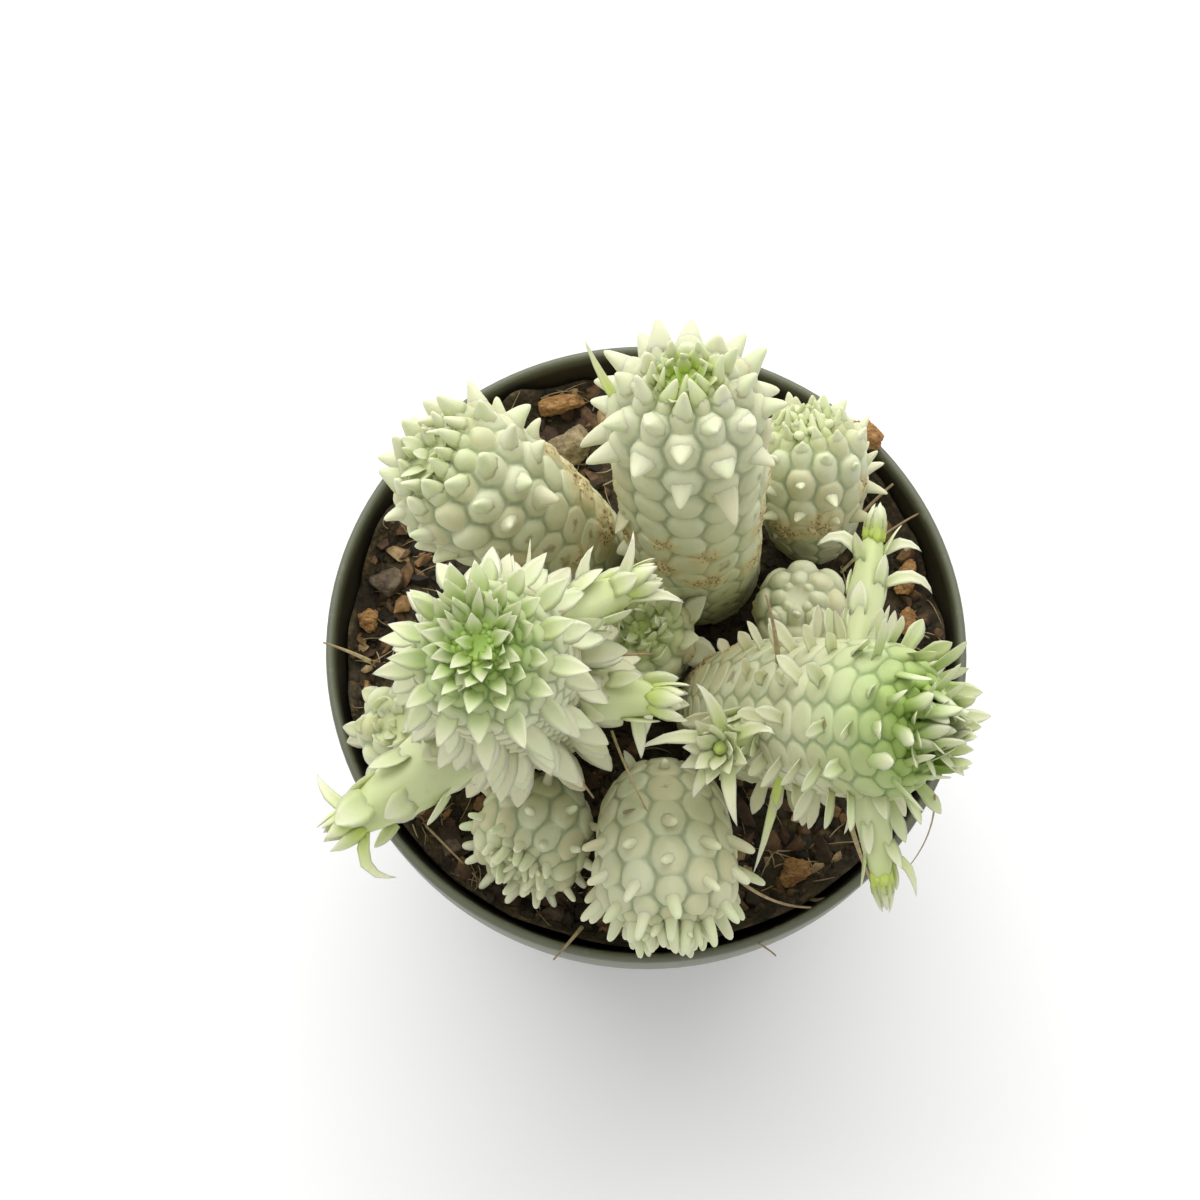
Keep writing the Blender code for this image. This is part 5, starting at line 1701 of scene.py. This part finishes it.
class EUPHORBIA_OT_chips(bpy.types.Operator):
    """Shapes the larger loose chips of bark, the pumice and the stones"""

    bl_idname = "euphorbia.chips"
    bl_label = "Chips and stones"

    def execute(self, context):
        finishes = {kind: lump_material(kind) for kind in LUMP_ROUGHNESS}
        for number, (name, (middle, size, turn, kind)) in enumerate(LOOSE.items()):
            bm = bmesh.new()
            bmesh.ops.create_icosphere(bm, subdivisions=LUMP_FINENESS, radius=1.0)
            rough = LUMP_ROUGHNESS[kind]
            faces = breaks(random.Random(number), LUMP_FACETS[kind])
            halves = Vector(size)
            seed = Vector((number * math.pi, 0.0, 0.0))
            for vert in bm.verts:
                way = vert.co.normalized()
                knock = 1.0 + rough * noise.noise(way * LUMP_KNOCKS + seed)
                torn = LUMP_FIBRE_DEPTH * rough * noise.noise(way * LUMP_FIBRES + seed)
                pitted = LUMP_PIT_DEPTH * rough * noise.noise(way * LUMP_PITS + seed)
                knock *= (LUMP_SHRINK + torn + pitted) * knapped(way, faces)
                vert.co = halves * knock * way
            spin = Matrix.Rotation(math.radians(turn), 4, "Z")
            bmesh.ops.transform(bm, matrix=Matrix.Translation(middle) @ spin, verts=bm.verts)
            piece(name + "_chip", bm, finishes[kind], name)
        return {"FINISHED"}


class EUPHORBIA_OT_stems(bpy.types.Operator):
    """Grows the ten stems with their tubercles, leaves and side shoots"""

    bl_idname = "euphorbia.stems"
    bl_label = "Stems"

    def execute(self, context):
        settings = context.scene.euphorbia_stems
        material, shapes = skin(settings), leaf_shapes()
        for number, (name, stem) in enumerate(STEMS.items()):
            build_stem(name, stem, STEM_SEED + number, material, shapes, settings.fineness)
        for shape in shapes.values():
            bpy.data.meshes.remove(shape)
        return {"FINISHED"}


# The camera looks down from in front, 16 degrees off the vertical and 300 mm from the rim
CAMERA_SPOT = Vector((-5.0, -82.69, 363.38))
CAMERA_AIM = Vector((-6.1, 5.7, 75.0))
SENSOR = 36.0
CLIP_START = 0.01
# The rest of the studio, in metres
FLOOR_REACH = 40.0
SOFTBOX_SIZE = (1.9, 1.3)
SOFTBOX_SPOT = Vector((-0.10, 0.80, 0.92))
SOFTBOX_AIM = Vector((0.0, 0.0, 0.08))


class EUPHORBIA_OT_studio(bpy.types.Operator):
    """Sets up the pale floor, the soft lights and the camera"""

    bl_idname = "euphorbia.studio"
    bl_label = "Floor, lights and camera"

    def execute(self, context):
        studio, scene = context.scene.euphorbia_studio, context.scene
        bm = bmesh.new()
        bmesh.ops.create_grid(bm, x_segments=8, y_segments=8, size=FLOOR_REACH)
        mesh = bpy.data.meshes.new("studio_floor")
        bm.to_mesh(mesh)
        bm.free()
        floor = bpy.data.objects.new("studio_floor", mesh)
        scene.collection.objects.link(floor)
        made, tree, shader, coords = new_material("paper_white_matt")
        paper = add(
            tree, "ShaderNodeTexNoise", {"Vector": coords, "Scale": per_mm(180.0), "Detail": 2.0},
            out="Fac",
        )
        tone = add(
            tree, "ShaderNodeMix",
            {0: paper, 6: opaque(linear("#F2F2F1")), 7: opaque(linear("#F6F6F6"))}, out=2,
            data_type="RGBA",
        )
        tree.links.new(tone, shader.inputs["Base Color"])
        shader.inputs["Roughness"].default_value = 0.9
        shader.inputs["Emission Color"].default_value = opaque(linear("#FFFFFF"))
        shader.inputs["Emission Strength"].default_value = 0.02
        mesh.materials.append(made)

        world = bpy.data.worlds.new("studio_air")
        world.use_nodes = True
        sky = world.node_tree.nodes["Background"]
        sky.inputs["Color"].default_value = opaque(linear("#FFFFFF"))
        sky.inputs["Strength"].default_value = studio.sky
        scene.world = world
        scene.view_settings.view_transform = "Standard"

        lamp = bpy.data.lights.new("softbox", "AREA")
        lamp.shape = "RECTANGLE"
        lamp.size, lamp.size_y = SOFTBOX_SIZE
        lamp.energy = studio.key
        softbox = bpy.data.objects.new("softbox", lamp)
        softbox.location = SOFTBOX_SPOT
        aim = SOFTBOX_AIM - SOFTBOX_SPOT
        softbox.rotation_euler = aim.to_track_quat("-Z", "Y").to_euler()
        scene.collection.objects.link(softbox)

        look = (CAMERA_AIM - CAMERA_SPOT).normalized()
        right = look.cross(Vector((0.0, 1.0, 0.0))).normalized()
        above = right.cross(look)
        lens = bpy.data.cameras.new("camera")
        lens.lens = studio.lens
        lens.sensor_width = SENSOR
        lens.clip_start = CLIP_START
        camera = bpy.data.objects.new("camera", lens)
        turn = Matrix((right, above, -look)).transposed()
        camera.matrix_world = Matrix.Translation(CAMERA_SPOT * MM) @ turn.to_4x4()
        scene.collection.objects.link(camera)
        scene.camera = camera
        return {"FINISHED"}


OPERATORS = (
    EUPHORBIA_OT_pot,
    EUPHORBIA_OT_soil,
    EUPHORBIA_OT_litter,
    EUPHORBIA_OT_chips,
    EUPHORBIA_OT_stems,
    EUPHORBIA_OT_dry_bits,
    EUPHORBIA_OT_studio,
)
GROUPS = {
    "euphorbia_pot": PotSettings,
    "euphorbia_soil": SoilSettings,
    "euphorbia_stems": StemSettings,
    "euphorbia_studio": StudioSettings,
}


class EUPHORBIA_PT_panel(bpy.types.Panel):
    """Lists the pieces and their settings in the sidebar"""

    bl_idname = "EUPHORBIA_PT_panel"
    bl_label = "Potted euphorbia"
    bl_space_type = "VIEW_3D"
    bl_region_type = "UI"
    bl_category = "Euphorbia"

    def draw(self, context):
        for operator in OPERATORS:
            self.layout.operator(operator.bl_idname)
        for name in GROUPS:
            settings = getattr(context.scene, name)
            box = self.layout.box()
            for key in settings.__annotations__:
                box.prop(settings, key)


def register():
    for group in GROUPS.values():
        bpy.utils.register_class(group)
    for operator in OPERATORS:
        bpy.utils.register_class(operator)
    bpy.utils.register_class(EUPHORBIA_PT_panel)
    for name, group in GROUPS.items():
        setattr(bpy.types.Scene, name, PointerProperty(type=group))


def unregister():
    for name in GROUPS:
        delattr(bpy.types.Scene, name)
    bpy.utils.unregister_class(EUPHORBIA_PT_panel)
    for operator in reversed(OPERATORS):
        bpy.utils.unregister_class(operator)
    for group in GROUPS.values():
        bpy.utils.unregister_class(group)


def main():
    """Builds each piece and the stage in order."""
    register()
    bpy.ops.euphorbia.pot()
    bpy.ops.euphorbia.soil()
    bpy.ops.euphorbia.litter()
    bpy.ops.euphorbia.chips()
    bpy.ops.euphorbia.stems()
    bpy.ops.euphorbia.dry_bits()
    bpy.ops.euphorbia.studio()


if __name__ == "__main__":
    main()
